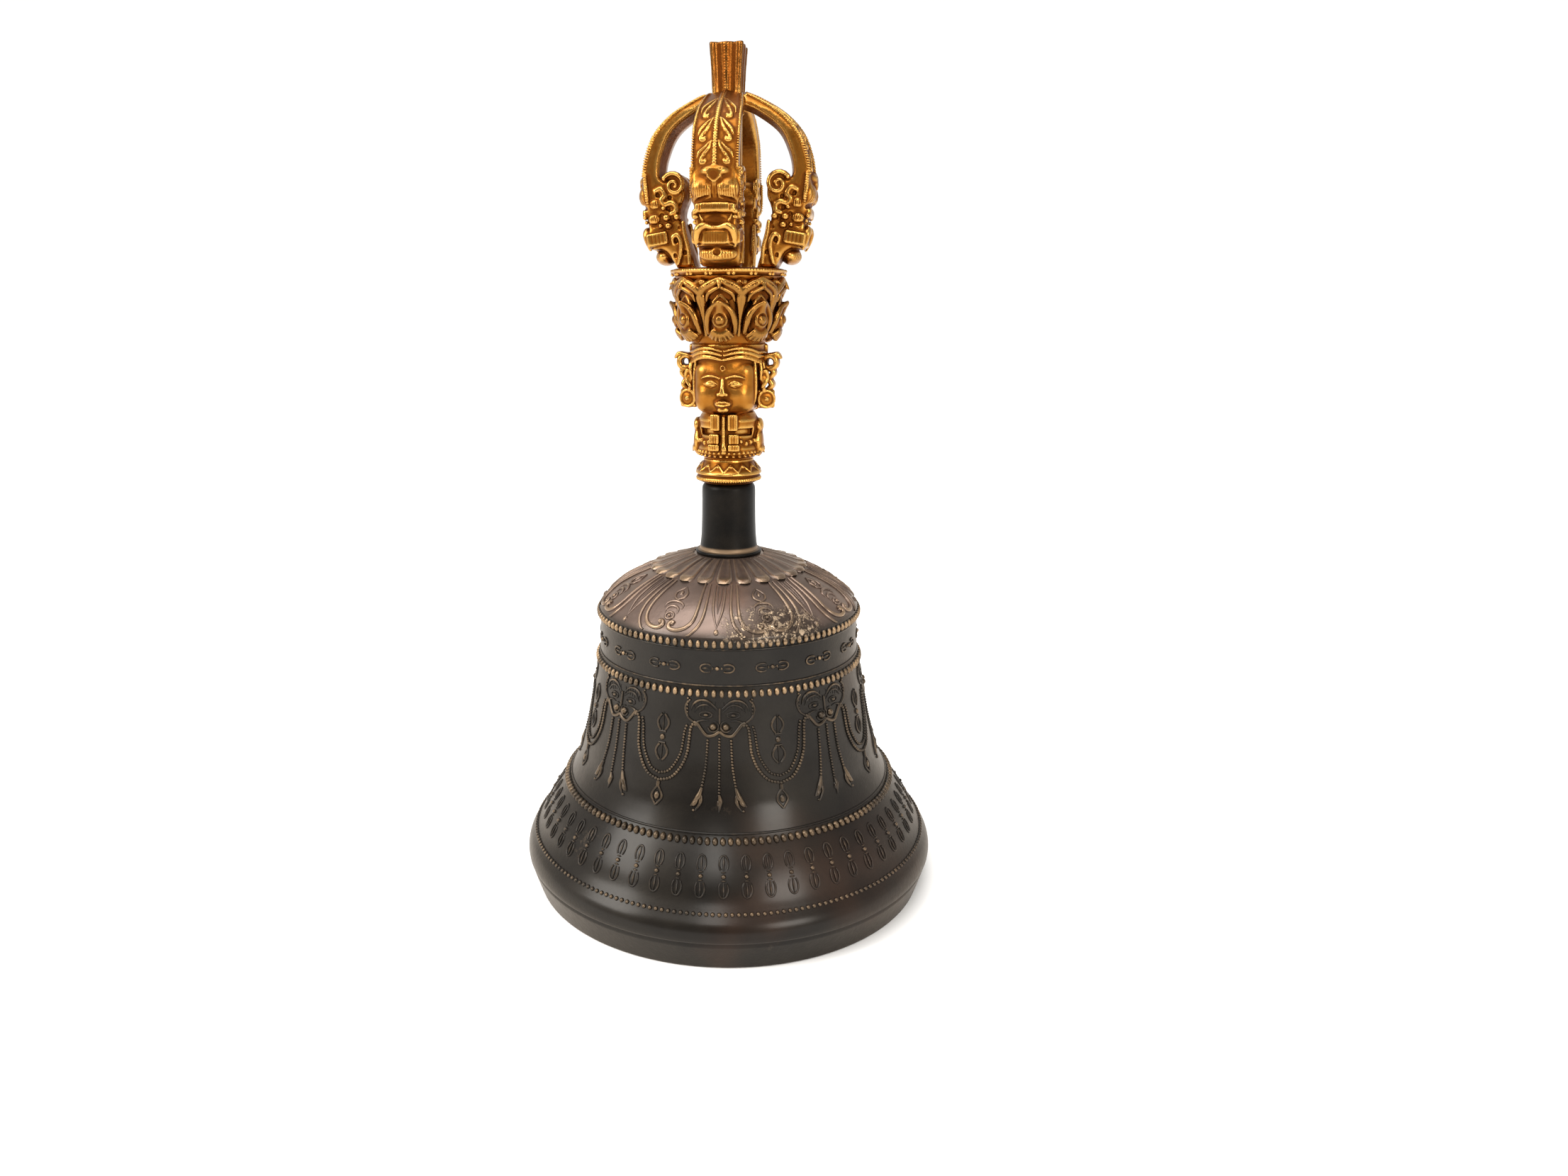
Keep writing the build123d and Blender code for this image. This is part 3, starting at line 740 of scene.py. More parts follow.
# One fluted tongue of the collar, turned up at its round end.
tongue_points = []
tongue_faces = []
tongue_rows = 14
tongue_columns = 9
for i in range(tongue_rows):
    t = i / (tongue_rows - 1)
    half = 3.25 * (1 - 0.12 * t) * (1 if t > 0.12 else 0.62 + 3.2 * t)
    rise = 0.24 + 0.52 * math.exp(-(((t - 0.07) / 0.07) ** 2))
    for j in range(tongue_columns):
        u = -1 + 2 * j / (tongue_columns - 1)
        dip = -0.08 * math.exp(-((u / 0.3) ** 2)) * (t > 0.2)
        edge = 0.16 * math.exp(-(((abs(u) - 0.8) / 0.16) ** 2)) * (t > 0.15)
        tongue_points.append(
            (
                u * half, 15.2 + t * 9.7 - 0.5 * (1 - u * u) * (t < 0.1),
                rise * math.sqrt(max(0.0, 1 - u**4)) + dip + edge - 0.12 * (abs(u) == 1)
            )
        )
for i in range(tongue_rows - 1):
    for j in range(tongue_columns - 1):
        a = i * tongue_columns + j
        tongue_faces.append((a, a + 1, a + 1 + tongue_columns, a + tongue_columns))
tongue_mesh = bpy.data.meshes.new("collar_tongue")
tongue_mesh.from_pydata(tongue_points, [], tongue_faces)
collar_tongue = bpy.data.objects.new("collar_tongue", tongue_mesh)
sheets.objects.link(collar_tongue)
lay(
    "collar_petals", boss_tree, collar_tongue, copies=24, circle=dome_circle, level=dome_level,
    turn=relief_turn, relief=1.0
)

# ---------------------------------------------------------------------------------------------
# The neck.
# A bronze sleeve, turned and blackened, that stands on the crown in a narrow footing ring and is
# rounded over at its top, where the gilt handle sits on it.

black, graph, shader = new_finish("black_bronze", 0.35, 0.42)
place = graph.add("ShaderNodeTexCoord").output("Object")
height = graph.add("ShaderNodeSeparateXYZ", None, {0: place}, 2)
smoke = graph.noise(place, 160.0, 4.0)
colour = graph.tint(smoke.from_to(0.3, 0.75), (0.0038, 0.0032, 0.0026), (0.010, 0.0078, 0.0058))
foot_line = height.from_to(0.0772, 0.0775) * (1.0 - height.from_to(0.0778, 0.0784))
colour = graph.tint(foot_line * 0.6 + smoke.from_to(0.66, 0.8) * 0.25, colour, (0.30, 0.20, 0.12))
brush = graph.add("ShaderNodeMapping", {"vector_type": "POINT"}, {"Vector": place, "Scale": (1.0, 1.0, 14.0)})
lathe_marks = graph.noise(brush, 420.0, 2.0)
marks = {"Strength": 0.35, "Distance": 0.00008, "Height": lathe_marks + smoke}
graph.feed(
    shader,
    {
        "Base Color": colour,
        "Roughness": 0.30 + smoke * 0.2,
        "Specular IOR Level": 0.11,
        "Normal": graph.add("ShaderNodeBump", None, marks),
    },
)
sleeve_outline = np.concatenate(
    [
        [(3.25, 76.4), (7.15, 76.4)],
        smooth([(7.3, 76.6), (7.35, 76.95), (7.2, 77.25), (6.75, 77.4)], 3),
        [(6.55, 77.35)],
        smooth(
            [
                (6.5, 77.6), (6.35, 78.3), (6.12, 80.5), (5.98, 84.0), (5.92, 88.0), (5.9, 90.6),
                (5.75, 91.5), (5.3, 92.1), (4.7, 92.3)
            ],
            4
        ),
        [(3.25, 92.3)],
    ]
)
neck_skin = turned("neck_skin", sleeve_outline, 96, black)
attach(neck_skin, "bell")
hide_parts("neck_sleeve")

# ---------------------------------------------------------------------------------------------
# The foot of the handle.
# Cast brass, fire gilt. It rolls out over the neck, with a chased zigzag on its slope and a milled
# rim under a dark groove. The gilding has rubbed thin on what stands proud, which also carries a
# painted highlight, and the cuts are painted dark brown as painted shade.

gold, graph, shader = new_finish("fire_gilding", 1.0, 0.34)
place = graph.add("ShaderNodeTexCoord").output("Object")
worn = graph.add("ShaderNodeAttribute", {"attribute_name": "worn"}).output("Fac")
proud = graph.add("ShaderNodeAttribute", {"attribute_name": "proud"}).output("Fac")
bead = proud.from_to(0.1, 0.6) * 0.5
fine_mottle = graph.noise(place, 420.0, 3.0)
patch = graph.noise(place, 95.0, 2.0)
grain = graph.noise(place, 1500.0, 3.0, 0.6)
# Proud parts rubbed thin to bright gold, which also stands as a painted highlight.
rubbed_and_highlit = (worn * 0.8 + bead + (fine_mottle - 0.5) * 0.45 + (patch - 0.5) * 0.6).from_to(-0.05, 0.75)
# Painted shade: the cuts and hollows darkened to dark brown.
painted_shade_in_cuts = (0.0 - worn + (fine_mottle - 0.5) * 0.35 + (patch - 0.5) * 0.3).from_to(-0.02, 0.42)
colour = graph.tint(patch.from_to(0.35, 0.7), (0.285, 0.106, 0.0135), (0.215, 0.071, 0.008))
colour = graph.tint(rubbed_and_highlit * 0.8, colour, (0.58, 0.320, 0.079))
colour = graph.tint(painted_shade_in_cuts * 0.85, colour, (0.105, 0.028, 0.004))
height = graph.add("ShaderNodeSeparateXYZ", None, {0: place}, 2)
smoked = height.from_to(0.1215, 0.1240) * (
    1.0 - height.from_to(0.1335, 0.1360)
) + height.from_to(0.1690, 0.1735) * 1.35
colour = graph.tint(smoked * 0.62, colour, (0.105, 0.028, 0.004))
marks = {"Strength": 0.5, "Distance": 0.00010, "Height": grain * 0.8 + fine_mottle * 1.2}
graph.feed(
    shader,
    {
        "Base Color": colour,
        "Roughness": 0.33 + painted_shade_in_cuts * 0.22 - rubbed_and_highlit * 0.07 + (grain - 0.5) * 0.12,
        "Normal": graph.add("ShaderNodeBump", None, marks),
    },
)


class Clay:
    """Modelling clay: how far the points of an even grid lie outside the form, in millimetres."""

    def __init__(self, low, high, grain=0.16, mirror=0):
        self.grain = grain * 1.0
        self.low = np.asarray(low, float)
        self.size = np.ceil((np.asarray(high, float) - self.low) / self.grain).astype(int) + 1
        self.far = np.full(self.size, 2.0, np.float32)
        self.mirror = mirror

    def part(self, low, high, reach=0.9):
        """The grid inside a box, and where its points are."""
        first = np.clip(np.floor((np.asarray(low) - reach - self.low) / self.grain).astype(int), 0, self.size)
        last = np.clip(
            np.ceil((np.asarray(high) + reach - self.low) / self.grain).astype(int) + 1, 0, self.size
        )
        axes = [self.low[i] + self.grain * np.arange(first[i], max(first[i], last[i])) for i in range(3)]
        x, y, z = np.meshgrid(*axes, indexing="ij", sparse=True)
        return tuple(slice(a, max(a, b)) for a, b in zip(first, last)), x, y, z

    def join(self, cut, form, blend, carve):
        old = self.far[cut]
        sign = -1.0 if carve else 1.0
        meet = np.maximum(blend - np.abs(old - sign * form), 0.0) / max(blend, 1e-6)
        if carve:
            self.far[cut] = np.maximum(old, -form) + meet**2 * blend / 4
        else:
            self.far[cut] = np.minimum(old, form) - meet**2 * blend / 4

    def sides(self, centre, lean, both):
        """The place and lean of a stroke, and of its image in the mirror."""
        yield np.asarray(centre, float), lean
        if both:
            flip = np.ones(3)
            flip[self.mirror] = -1
            yield np.asarray(centre, float) * flip, tuple(np.asarray(lean) * -flip)

    def local(self, x, y, z, centre, lean):
        from_here = (x - centre[0], y - centre[1], z - centre[2])
        if not any(lean):
            return from_here
        a, b, c = np.radians(lean)
        turn_x = np.array([[1, 0, 0], [0, math.cos(a), -math.sin(a)], [0, math.sin(a), math.cos(a)]])
        turn_y = np.array([[math.cos(b), 0, math.sin(b)], [0, 1, 0], [-math.sin(b), 0, math.cos(b)]])
        turn_z = np.array([[math.cos(c), -math.sin(c), 0], [math.sin(c), math.cos(c), 0], [0, 0, 1]])
        m = turn_z @ turn_y @ turn_x
        return tuple(sum(m[j, i] * from_here[j] for j in range(3)) for i in range(3))

    def ball(self, centre, radii, blend=0.3, carve=False, both=False, lean=(0, 0, 0)):
        radii = np.broadcast_to(np.asarray(radii, float), (3,))
        for middle, tip in self.sides(centre, lean, both):
            most = radii.max()
            cut, x, y, z = self.part(middle - most, middle + most)
            u, v, w = self.local(x, y, z, middle, tip)
            a = np.sqrt((u / radii[0]) ** 2 + (v / radii[1]) ** 2 + (w / radii[2]) ** 2)
            b = np.sqrt((u / radii[0] ** 2) ** 2 + (v / radii[1] ** 2) ** 2 + (w / radii[2] ** 2) ** 2)
            self.join(cut, a * (a - 1) / (b + 1e-6), blend, carve)

    def block(self, centre, half, blend=0.2, carve=False, both=False, lean=(0, 0, 0), soft=0.2):
        half = np.asarray(half, float)
        for middle, tip in self.sides(centre, lean, both):
            most = np.linalg.norm(half)
            cut, x, y, z = self.part(middle - most, middle + most)
            q = [np.abs(c) - h + soft for c, h in zip(self.local(x, y, z, middle, tip), half)]
            outer = np.sqrt(sum(np.maximum(c, 0) ** 2 for c in q))
            self.join(
                cut, outer + np.minimum(np.maximum(np.maximum(q[0], q[1]), q[2]), 0) - soft, blend, carve
            )

    def rope(self, points, radius, blend=0.15, carve=False, both=False):
        points = np.asarray(points, float)
        radii = np.interp(
            np.linspace(0, 1, len(points)), np.linspace(0, 1, np.size(radius)), np.atleast_1d(radius)
        )
        for mirrored_side in (False, True) if both else (False,):
            line = points.copy()
            if mirrored_side:
                line[:, self.mirror] *= -1
            for a, b, ra, rb in zip(line[:-1], line[1:], radii[:-1], radii[1:]):
                most = max(ra, rb)
                cut, x, y, z = self.part(np.minimum(a, b) - most, np.maximum(a, b) + most, 0.5)
                ab = b - a
                t = ((x - a[0]) * ab[0] + (y - a[1]) * ab[1] + (z - a[2]) * ab[2]) / max(ab @ ab, 1e-9)
                t = np.clip(t, 0, 1)
                gap = np.sqrt(
                    (x - a[0] - t * ab[0]) ** 2 + (y - a[1] - t * ab[1]) ** 2 + (z - a[2] - t * ab[2]) ** 2
                )
                self.join(cut, gap - (ra + t * (rb - ra)), blend * 0.5, carve)

    def beads(self, points, radius, blend=0.08):
        for point in points:
            self.ball(point, radius, blend)

    def wheel(self, outline, blend=0.2, carve=False):
        """A form turned about the upright axis, from (radius, height) pairs in order of height."""
        outline = np.asarray(outline, float)
        most = outline[:, 0].max()
        cut, x, y, z = self.part((-most, -most, outline[0, 1]), (most, most, outline[-1, 1]))
        radius = np.interp(z, outline[:, 1], outline[:, 0])
        slope = np.interp(z, outline[:, 1], np.gradient(outline[:, 0], outline[:, 1]))
        gap = (np.sqrt(x * x + y * y) - radius) / np.sqrt(1 + slope**2)
        self.join(cut, np.maximum(np.maximum(gap, outline[0, 1] - z), z - outline[-1, 1]), blend, carve)

    def skin(self):
        """The surface's points, in millimetres, its four-sided faces, and how much each point bulges or
        sinks, which the gilt finish turns into rubbed wear with a painted highlight and into painted shade.
        """
        far = self.far.copy()
        for i in range(3):
            edge = [slice(None)] * 3
            for end in (0, -1):
                edge[i] = end
                far[tuple(edge)] = np.maximum(far[tuple(edge)], 0.3)
        filled = far < 0
        corner = [(a, b, c) for a in (0, 1) for b in (0, 1) for c in (0, 1)]
        n = np.array(far.shape) - 1
        count = sum(filled[a : a + n[0], b : b + n[1], c : c + n[2]].astype(np.int8) for a, b, c in corner)
        cells = np.argwhere((count > 0) & (count < 8))
        number = np.full(tuple(n), -1, np.int64)
        number[tuple(cells.T)] = np.arange(len(cells))
        value = np.stack([far[tuple((cells + k).T)] for k in corner], 1)
        total = np.zeros((len(cells), 3))
        hits = np.zeros(len(cells))
        for i in range(8):
            for j in range(i + 1, 8):
                if sum(abs(p - q) for p, q in zip(corner[i], corner[j])) != 1:
                    continue
                cross = (value[:, i] < 0) != (value[:, j] < 0)
                t = (value[:, i] / (value[:, i] - value[:, j] + 1e-12))[:, None]
                spot = np.array(corner[i]) + t * (np.array(corner[j]) - np.array(corner[i]))
                total += np.where(cross[:, None], spot, 0)
                hits += cross
        points = cells + total / hits[:, None]
        faces = []
        for i in range(3):
            j, k = (i + 1) % 3, (i + 2) % 3
            step = np.eye(3, dtype=int)
            here = [slice(0, -1) if m == i else slice(1, -1) for m in range(3)]
            there = [slice(1, None) if m == i else slice(1, -1) for m in range(3)]
            inside, outside = filled[tuple(here)], filled[tuple(there)]
            for flip, which in ((False, inside & ~outside), (True, ~inside & outside)):
                base = np.argwhere(which) + (1 - step[i])
                ring = [base - step[j] - step[k], base - step[k], base, base - step[j]]
                ring = [number[tuple(r.T)] for r in (ring[::-1] if flip else ring)]
                faces.append(np.stack(ring, 1))
        faces = np.concatenate(faces)
        soft = far
        bulge_spread = 0.55
        reach = max(1, round(bulge_spread / self.grain))
        for i in range(3):
            pad = [(reach + 1, reach) if m == i else (0, 0) for m in range(3)]
            run = np.cumsum(np.pad(soft, pad, mode="edge"), axis=i, dtype=np.float64)
            first = [slice(0, -2 * reach - 1) if m == i else slice(None) for m in range(3)]
            last = [slice(2 * reach + 1, None) if m == i else slice(None) for m in range(3)]
            soft = (run[tuple(last)] - run[tuple(first)]) / (2 * reach + 1)
        bend = soft - far
        first = np.clip(np.floor(points).astype(int), 0, n - 1)
        share = points - first
        full_bulge = 0.10
        worn = np.zeros(len(points))
        for k in corner:
            worn += bend[tuple((first + k).T)] * np.prod(np.where(k, share, 1 - share), axis=1) / full_bulge
        half_way = 0.5
        for _ in range(2):
            total = np.zeros_like(points)
            hits = np.zeros(len(points))
            for a in range(4):
                for b in ((a + 1) % 4, (a + 3) % 4):
                    np.add.at(total, faces[:, a], points[faces[:, b]])
                    np.add.at(hits, faces[:, a], 1)
            points = points * (1 - half_way) + total / np.maximum(hits, 1)[:, None] * half_way
        return self.low + points * self.grain, faces, worn


def sculpted(name, node, clay, turn=0.0):
    """A gilt piece from its clay, turned about the upright axis, in place of a solid."""
    points, faces, worn = clay
    c, s = math.cos(turn), math.sin(turn)
    x, y, z = points.T * 0.001
    piece = mesh_piece(name, np.stack([x * c - y * s, x * s + y * c, z], 1), faces, gold, {"worn": worn})
    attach(piece, "bell")
    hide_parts(node)
    return piece


def round_about(radius, z, count, start=0.0):
    """Places evenly spaced round the upright axis; the angle is measured from the front."""
    t = np.radians(start) + np.arange(count) * 2 * math.pi / count
    return np.stack([radius * np.sin(t), -radius * np.cos(t), np.full(count, z)], 1)


foot_clay = Clay((-7.7, -7.7, 92.1), (7.7, 7.7, 98.0), 0.15)
foot_outline = np.array(
    [
        (5.6, 92.35), (6.3, 92.7), (6.95, 93.2), (7.1, 93.7), (6.75, 94.1), (6.7, 94.3), (7.3, 94.5),
        (7.25, 94.9), (6.6, 95.7), (5.9, 96.6), (5.5, 97.2), (5.45, 97.7)
    ]
)
foot_clay.wheel(foot_outline, 0.0)
foot_clay.beads(round_about(7.05, 93.35, 84), (0.2, 0.2, 0.42), blend=0.05)
zigzag = []
for k in range(113):
    t, z = 2 * math.pi * k / 112, 96.75 - 1.5 * abs((k % 8) / 4 - 1)
    r = np.interp(z, foot_outline[:, 1], foot_outline[:, 0]) + 0.06
    zigzag.append((r * math.sin(t), -r * math.cos(t), z))
foot_clay.rope(zigzag, 0.17, 0.04)
for k in range(14):
    t = math.radians(360 / 14 * (k + 0.5))
    foot_clay.ball((6.3 * math.sin(t), -6.3 * math.cos(t), 96.3), 0.25, 0.1)
foot_clay.wheel([(3.25, 91.0), (3.25, 99.0)], 0.0, carve=True)
sculpted("foot_gilt", "handle_foot", foot_clay.skin())

# ---------------------------------------------------------------------------------------------
# The body of the figure.
# A vase-shaped gilt casting: pleated scarves and a beaded cord hang down its front and back, a
# sleeve stands out at each side, and a slot is let through the wall at each quarter between them.

body_clay = Clay((-8.4, -7.6, 97.4), (8.4, 7.6, 108.2), 0.15)
body_clay.wheel(
    [
        (5.4, 97.7), (5.7, 98.2), (6.6, 99.0), (6.75, 100.2), (6.2, 101.6), (6.1, 103.0), (6.4, 104.6),
        (6.5, 106.2), (6.0, 107.2), (5.6, 107.8)
    ], 0.0
)
# At each quarter, a slot in the wall with folds of cloth above it and grains below.
for k in range(4):
    t = math.radians(45 + 90 * k)
    out = np.array((math.sin(t), -math.cos(t)))
    spread = np.radians(np.linspace(-26, 26, 9)) + t
    for z in (104.95, 105.75, 106.55):
        body_clay.rope(
            np.stack([6.62 * np.sin(spread), -6.62 * np.cos(spread), np.full(9, z)], 1), 0.17, 0.1, carve=True
        )
    body_clay.block(
        (6.3 * out[0], 6.3 * out[1], 103.75), (2.15, 1.5, 0.74), 0.08, True, lean=(0, 0, 45 + 90 * k),
        soft=0.15
    )
    for j in range(5):
        s = t + math.radians(-24 + 12 * j)
        body_clay.ball(
            (6.4 * math.sin(s), -6.4 * math.cos(s), 101.6 + 0.25 * math.sin(2.1 * j)), (0.42, 0.42, 0.5), 0.2
        )
# On the front and the back, pleated scarf ends beside a beaded cord with a tassel.
for face in (-1, 1):
    for side in (-1, 1):
        for middle, half in (
            ((1.8, 6.35, 105.9), (1.05, 0.85, 1.75)), ((2.0, 6.2, 102.4), (1.1, 0.95, 1.05)),
            ((2.1, 6.5, 100.55), (1.25, 0.85, 0.72))
        ):
            body_clay.block(
                (side * middle[0], face * middle[1], middle[2]), half, 0.12, soft=0.3,
                lean=(0, 0, -face * side * 12)
            )
            for k in range(4):
                across = side * middle[0] + (k - 1.5) * 0.52
                depth = face * (middle[1] + half[1]) + (across - side * middle[0]) * -face * side * 0.21
                body_clay.rope(
                    [(across, depth, middle[2] + half[2] - 0.1), (across, depth, middle[2] - half[2] - 0.2)],
                    0.15, 0.03, carve=True
                )
    body_clay.rope([(0, face * 6.55, 107.2), (0, face * 6.75, 101.6)], 0.42, 0.1)
    body_clay.beads([(0, face * 7.0, 107.0 - 0.5 * k) for k in range(11)], 0.36)
    body_clay.rope([(0, face * 6.9, 101.6), (0.1, face * 7.05, 100.3)], [0.35, 0.62], 0.1)
    for k in (-1, 0, 1):
        body_clay.rope(
            [(0.05 + 0.2 * k, face * 7.6, 101.2), (0.1 + 0.35 * k, face * 7.65, 99.8)], 0.08, 0.02, carve=True
        )
    body_clay.ball((0, face * 6.9, 99.5), (0.6, 0.4, 0.4), 0.1)
# Sleeves at the sides, and two rings of pearls at the waist.
for side in (-1, 1):
    body_clay.ball((side * 6.7, 0, 101.2), (1.05, 2.3, 3.1), 0.5)
    body_clay.ball((side * 6.8, 0.0, 104.9), (0.9, 2.0, 1.6), 0.4)
    body_clay.ball((side * 7.2, 0.0, 99.9), (0.75, 1.9, 1.0), 0.3)
    for y in (-1.3, -0.45, 0.45, 1.3):
        line = smooth(
            [
                (side * 7.35, y * 0.9, 105.6), (side * 7.75, y, 103.0), (side * 8.0, y * 1.1, 101.0),
                (side * 7.7, y * 1.2, 99.6)
            ],
            4
        )
        body_clay.rope(line, [0.1, 0.2, 0.22, 0.12], 0.06, carve=True)
    curl = arc(0, 0, 0.62, 0.62, 0, 300, 10)
    body_clay.rope(np.stack([np.full(10, side * 7.9), curl[:, 0], 99.6 + curl[:, 1]], 1), 0.17, 0.06)
body_clay.beads(round_about(6.72, 99.35, 38), (0.3, 0.3, 0.36))
body_clay.beads(round_about(6.55, 98.6, 30, 6), (0.34, 0.34, 0.26))
body_clay.wheel(
    [(3.9, 96.0), (3.9, 102.6), (4.3, 103.0), (4.3, 104.5), (3.9, 104.9), (3.9, 109.0)], 0.0, carve=True
)
sculpted("body_gilt", "torso", body_clay.skin())

# ---------------------------------------------------------------------------------------------
# The head.
# A calm goddess's face in high relief, with a band of combed hair over the brow, ears with round
# drops, and ribbons that curl out beside the temples. The hair falls in locks at the back.

head_clay = Clay((-12.0, -9.4, 107.5), (12.0, 9.0, 122.6), 0.16)
head_clay.wheel(
    [(5.2, 107.8), (6.3, 108.6), (6.9, 110.0), (7.2, 113.0), (7.5, 117.0), (7.9, 120.2), (7.9, 122.2)], 0.0
)
head_clay.block((0, -3.1, 113.3), (6.3, 4.1, 5.45), 0.3, soft=2.3)
head_clay.ball((0, -4.0, 112.6), (6.2, 3.9, 4.9), 1.2)
head_clay.ball((0, -3.9, 115.4), (6.1, 4.1, 3.9), 1.2)
head_clay.ball((0, -4.6, 111.0), (4.4, 3.35, 3.4), 1.0)
# Cheeks, eyes with their lids, brows and the wings of the nose.
for side in (-1, 1):
    head_clay.ball((side * 3.0, -6.6, 111.7), (2.0, 1.2, 1.9), 1.2)
    head_clay.ball((side * 2.6, -8.25, 113.95), (1.45, 0.7, 0.72), 0.35, carve=True)
    head_clay.ball((side * 2.6, -7.42, 113.95), (1.28, 0.78, 0.60), 0.1)
    lid = np.array(
        [
            (side * (1.2 + 2.9 * t), -8.05 + 0.55 * t * t, 113.98 + 0.62 * math.sin(math.pi * t))
            for t in np.linspace(0, 1, 9)
        ]
    )
    head_clay.rope(lid, [0.09, 0.2, 0.12], 0.08)
    low_lid = np.array(
        [
            (side * (1.3 + 2.6 * t), -8.0 + 0.5 * t * t, 113.9 - 0.42 * math.sin(math.pi * t))
            for t in np.linspace(0, 1, 9)
        ]
    )
    head_clay.rope(low_lid, [0.06, 0.14, 0.08], 0.08)
    slit = np.array(
        [
            (side * (1.5 + 2.2 * t), -8.16 + 0.4 * t * t, 113.74 - 0.1 * math.sin(math.pi * t))
            for t in np.linspace(0, 1, 7)
        ]
    )
    head_clay.rope(slit, [0.07, 0.12, 0.07], 0.03, carve=True)
    brow = np.array(
        [
            (
                side * (0.75 + 4.0 * t), -8.25 + 0.8 * t * t,
                115.0 + 0.75 * math.sin(math.pi * (0.12 + 0.8 * t))
            )
            for t in np.linspace(0, 1, 9)
        ]
    )
    head_clay.rope(brow, [0.16, 0.3, 0.12], 0.3)
    head_clay.ball((side * 0.78, -8.75, 111.95), (0.5, 0.5, 0.42), 0.2)
    head_clay.ball((side * 0.5, -9.1, 111.55), (0.24, 0.3, 0.2), 0.1, carve=True)
    head_clay.rope([(side * 1.3, -8.6, 112.0), (side * 2.1, -8.1, 110.6)], [0.06, 0.1], 0.25, carve=True)
# Bridge of the nose, lips and chin, and a ring on the brow.
head_clay.rope([(0, -8.3, 115.0), (0, -8.75, 113.4), (0, -9.0, 112.1)], [0.38, 0.42, 0.58], 0.4)
head_clay.ball((0, -8.15, 110.05), (1.75, 0.75, 0.85), 0.4)
head_clay.rope(
    [
        (-1.6, -8.55, 110.15), (-0.6, -8.95, 110.42), (0, -8.95, 110.3), (0.6, -8.95, 110.42),
        (1.6, -8.55, 110.15)
    ],
    [0.1, 0.24, 0.24, 0.24, 0.1], 0.1
)
head_clay.rope([(-1.2, -8.65, 109.75), (0, -8.95, 109.6), (1.2, -8.65, 109.75)], [0.12, 0.3, 0.12], 0.1)
head_clay.rope([(-1.8, -8.65, 110.1), (0, -9.2, 109.98), (1.8, -8.65, 110.1)], 0.09, 0.03, carve=True)
head_clay.ball((0, -7.9, 108.75), (1.25, 0.75, 0.62), 0.4)
ring = arc(0, 117.35, 0.5, 0.5, 0, 360, 14)
head_clay.rope(np.stack([ring[:, 0], np.full(14, -8.05), ring[:, 1]], 1), 0.12, 0.05)
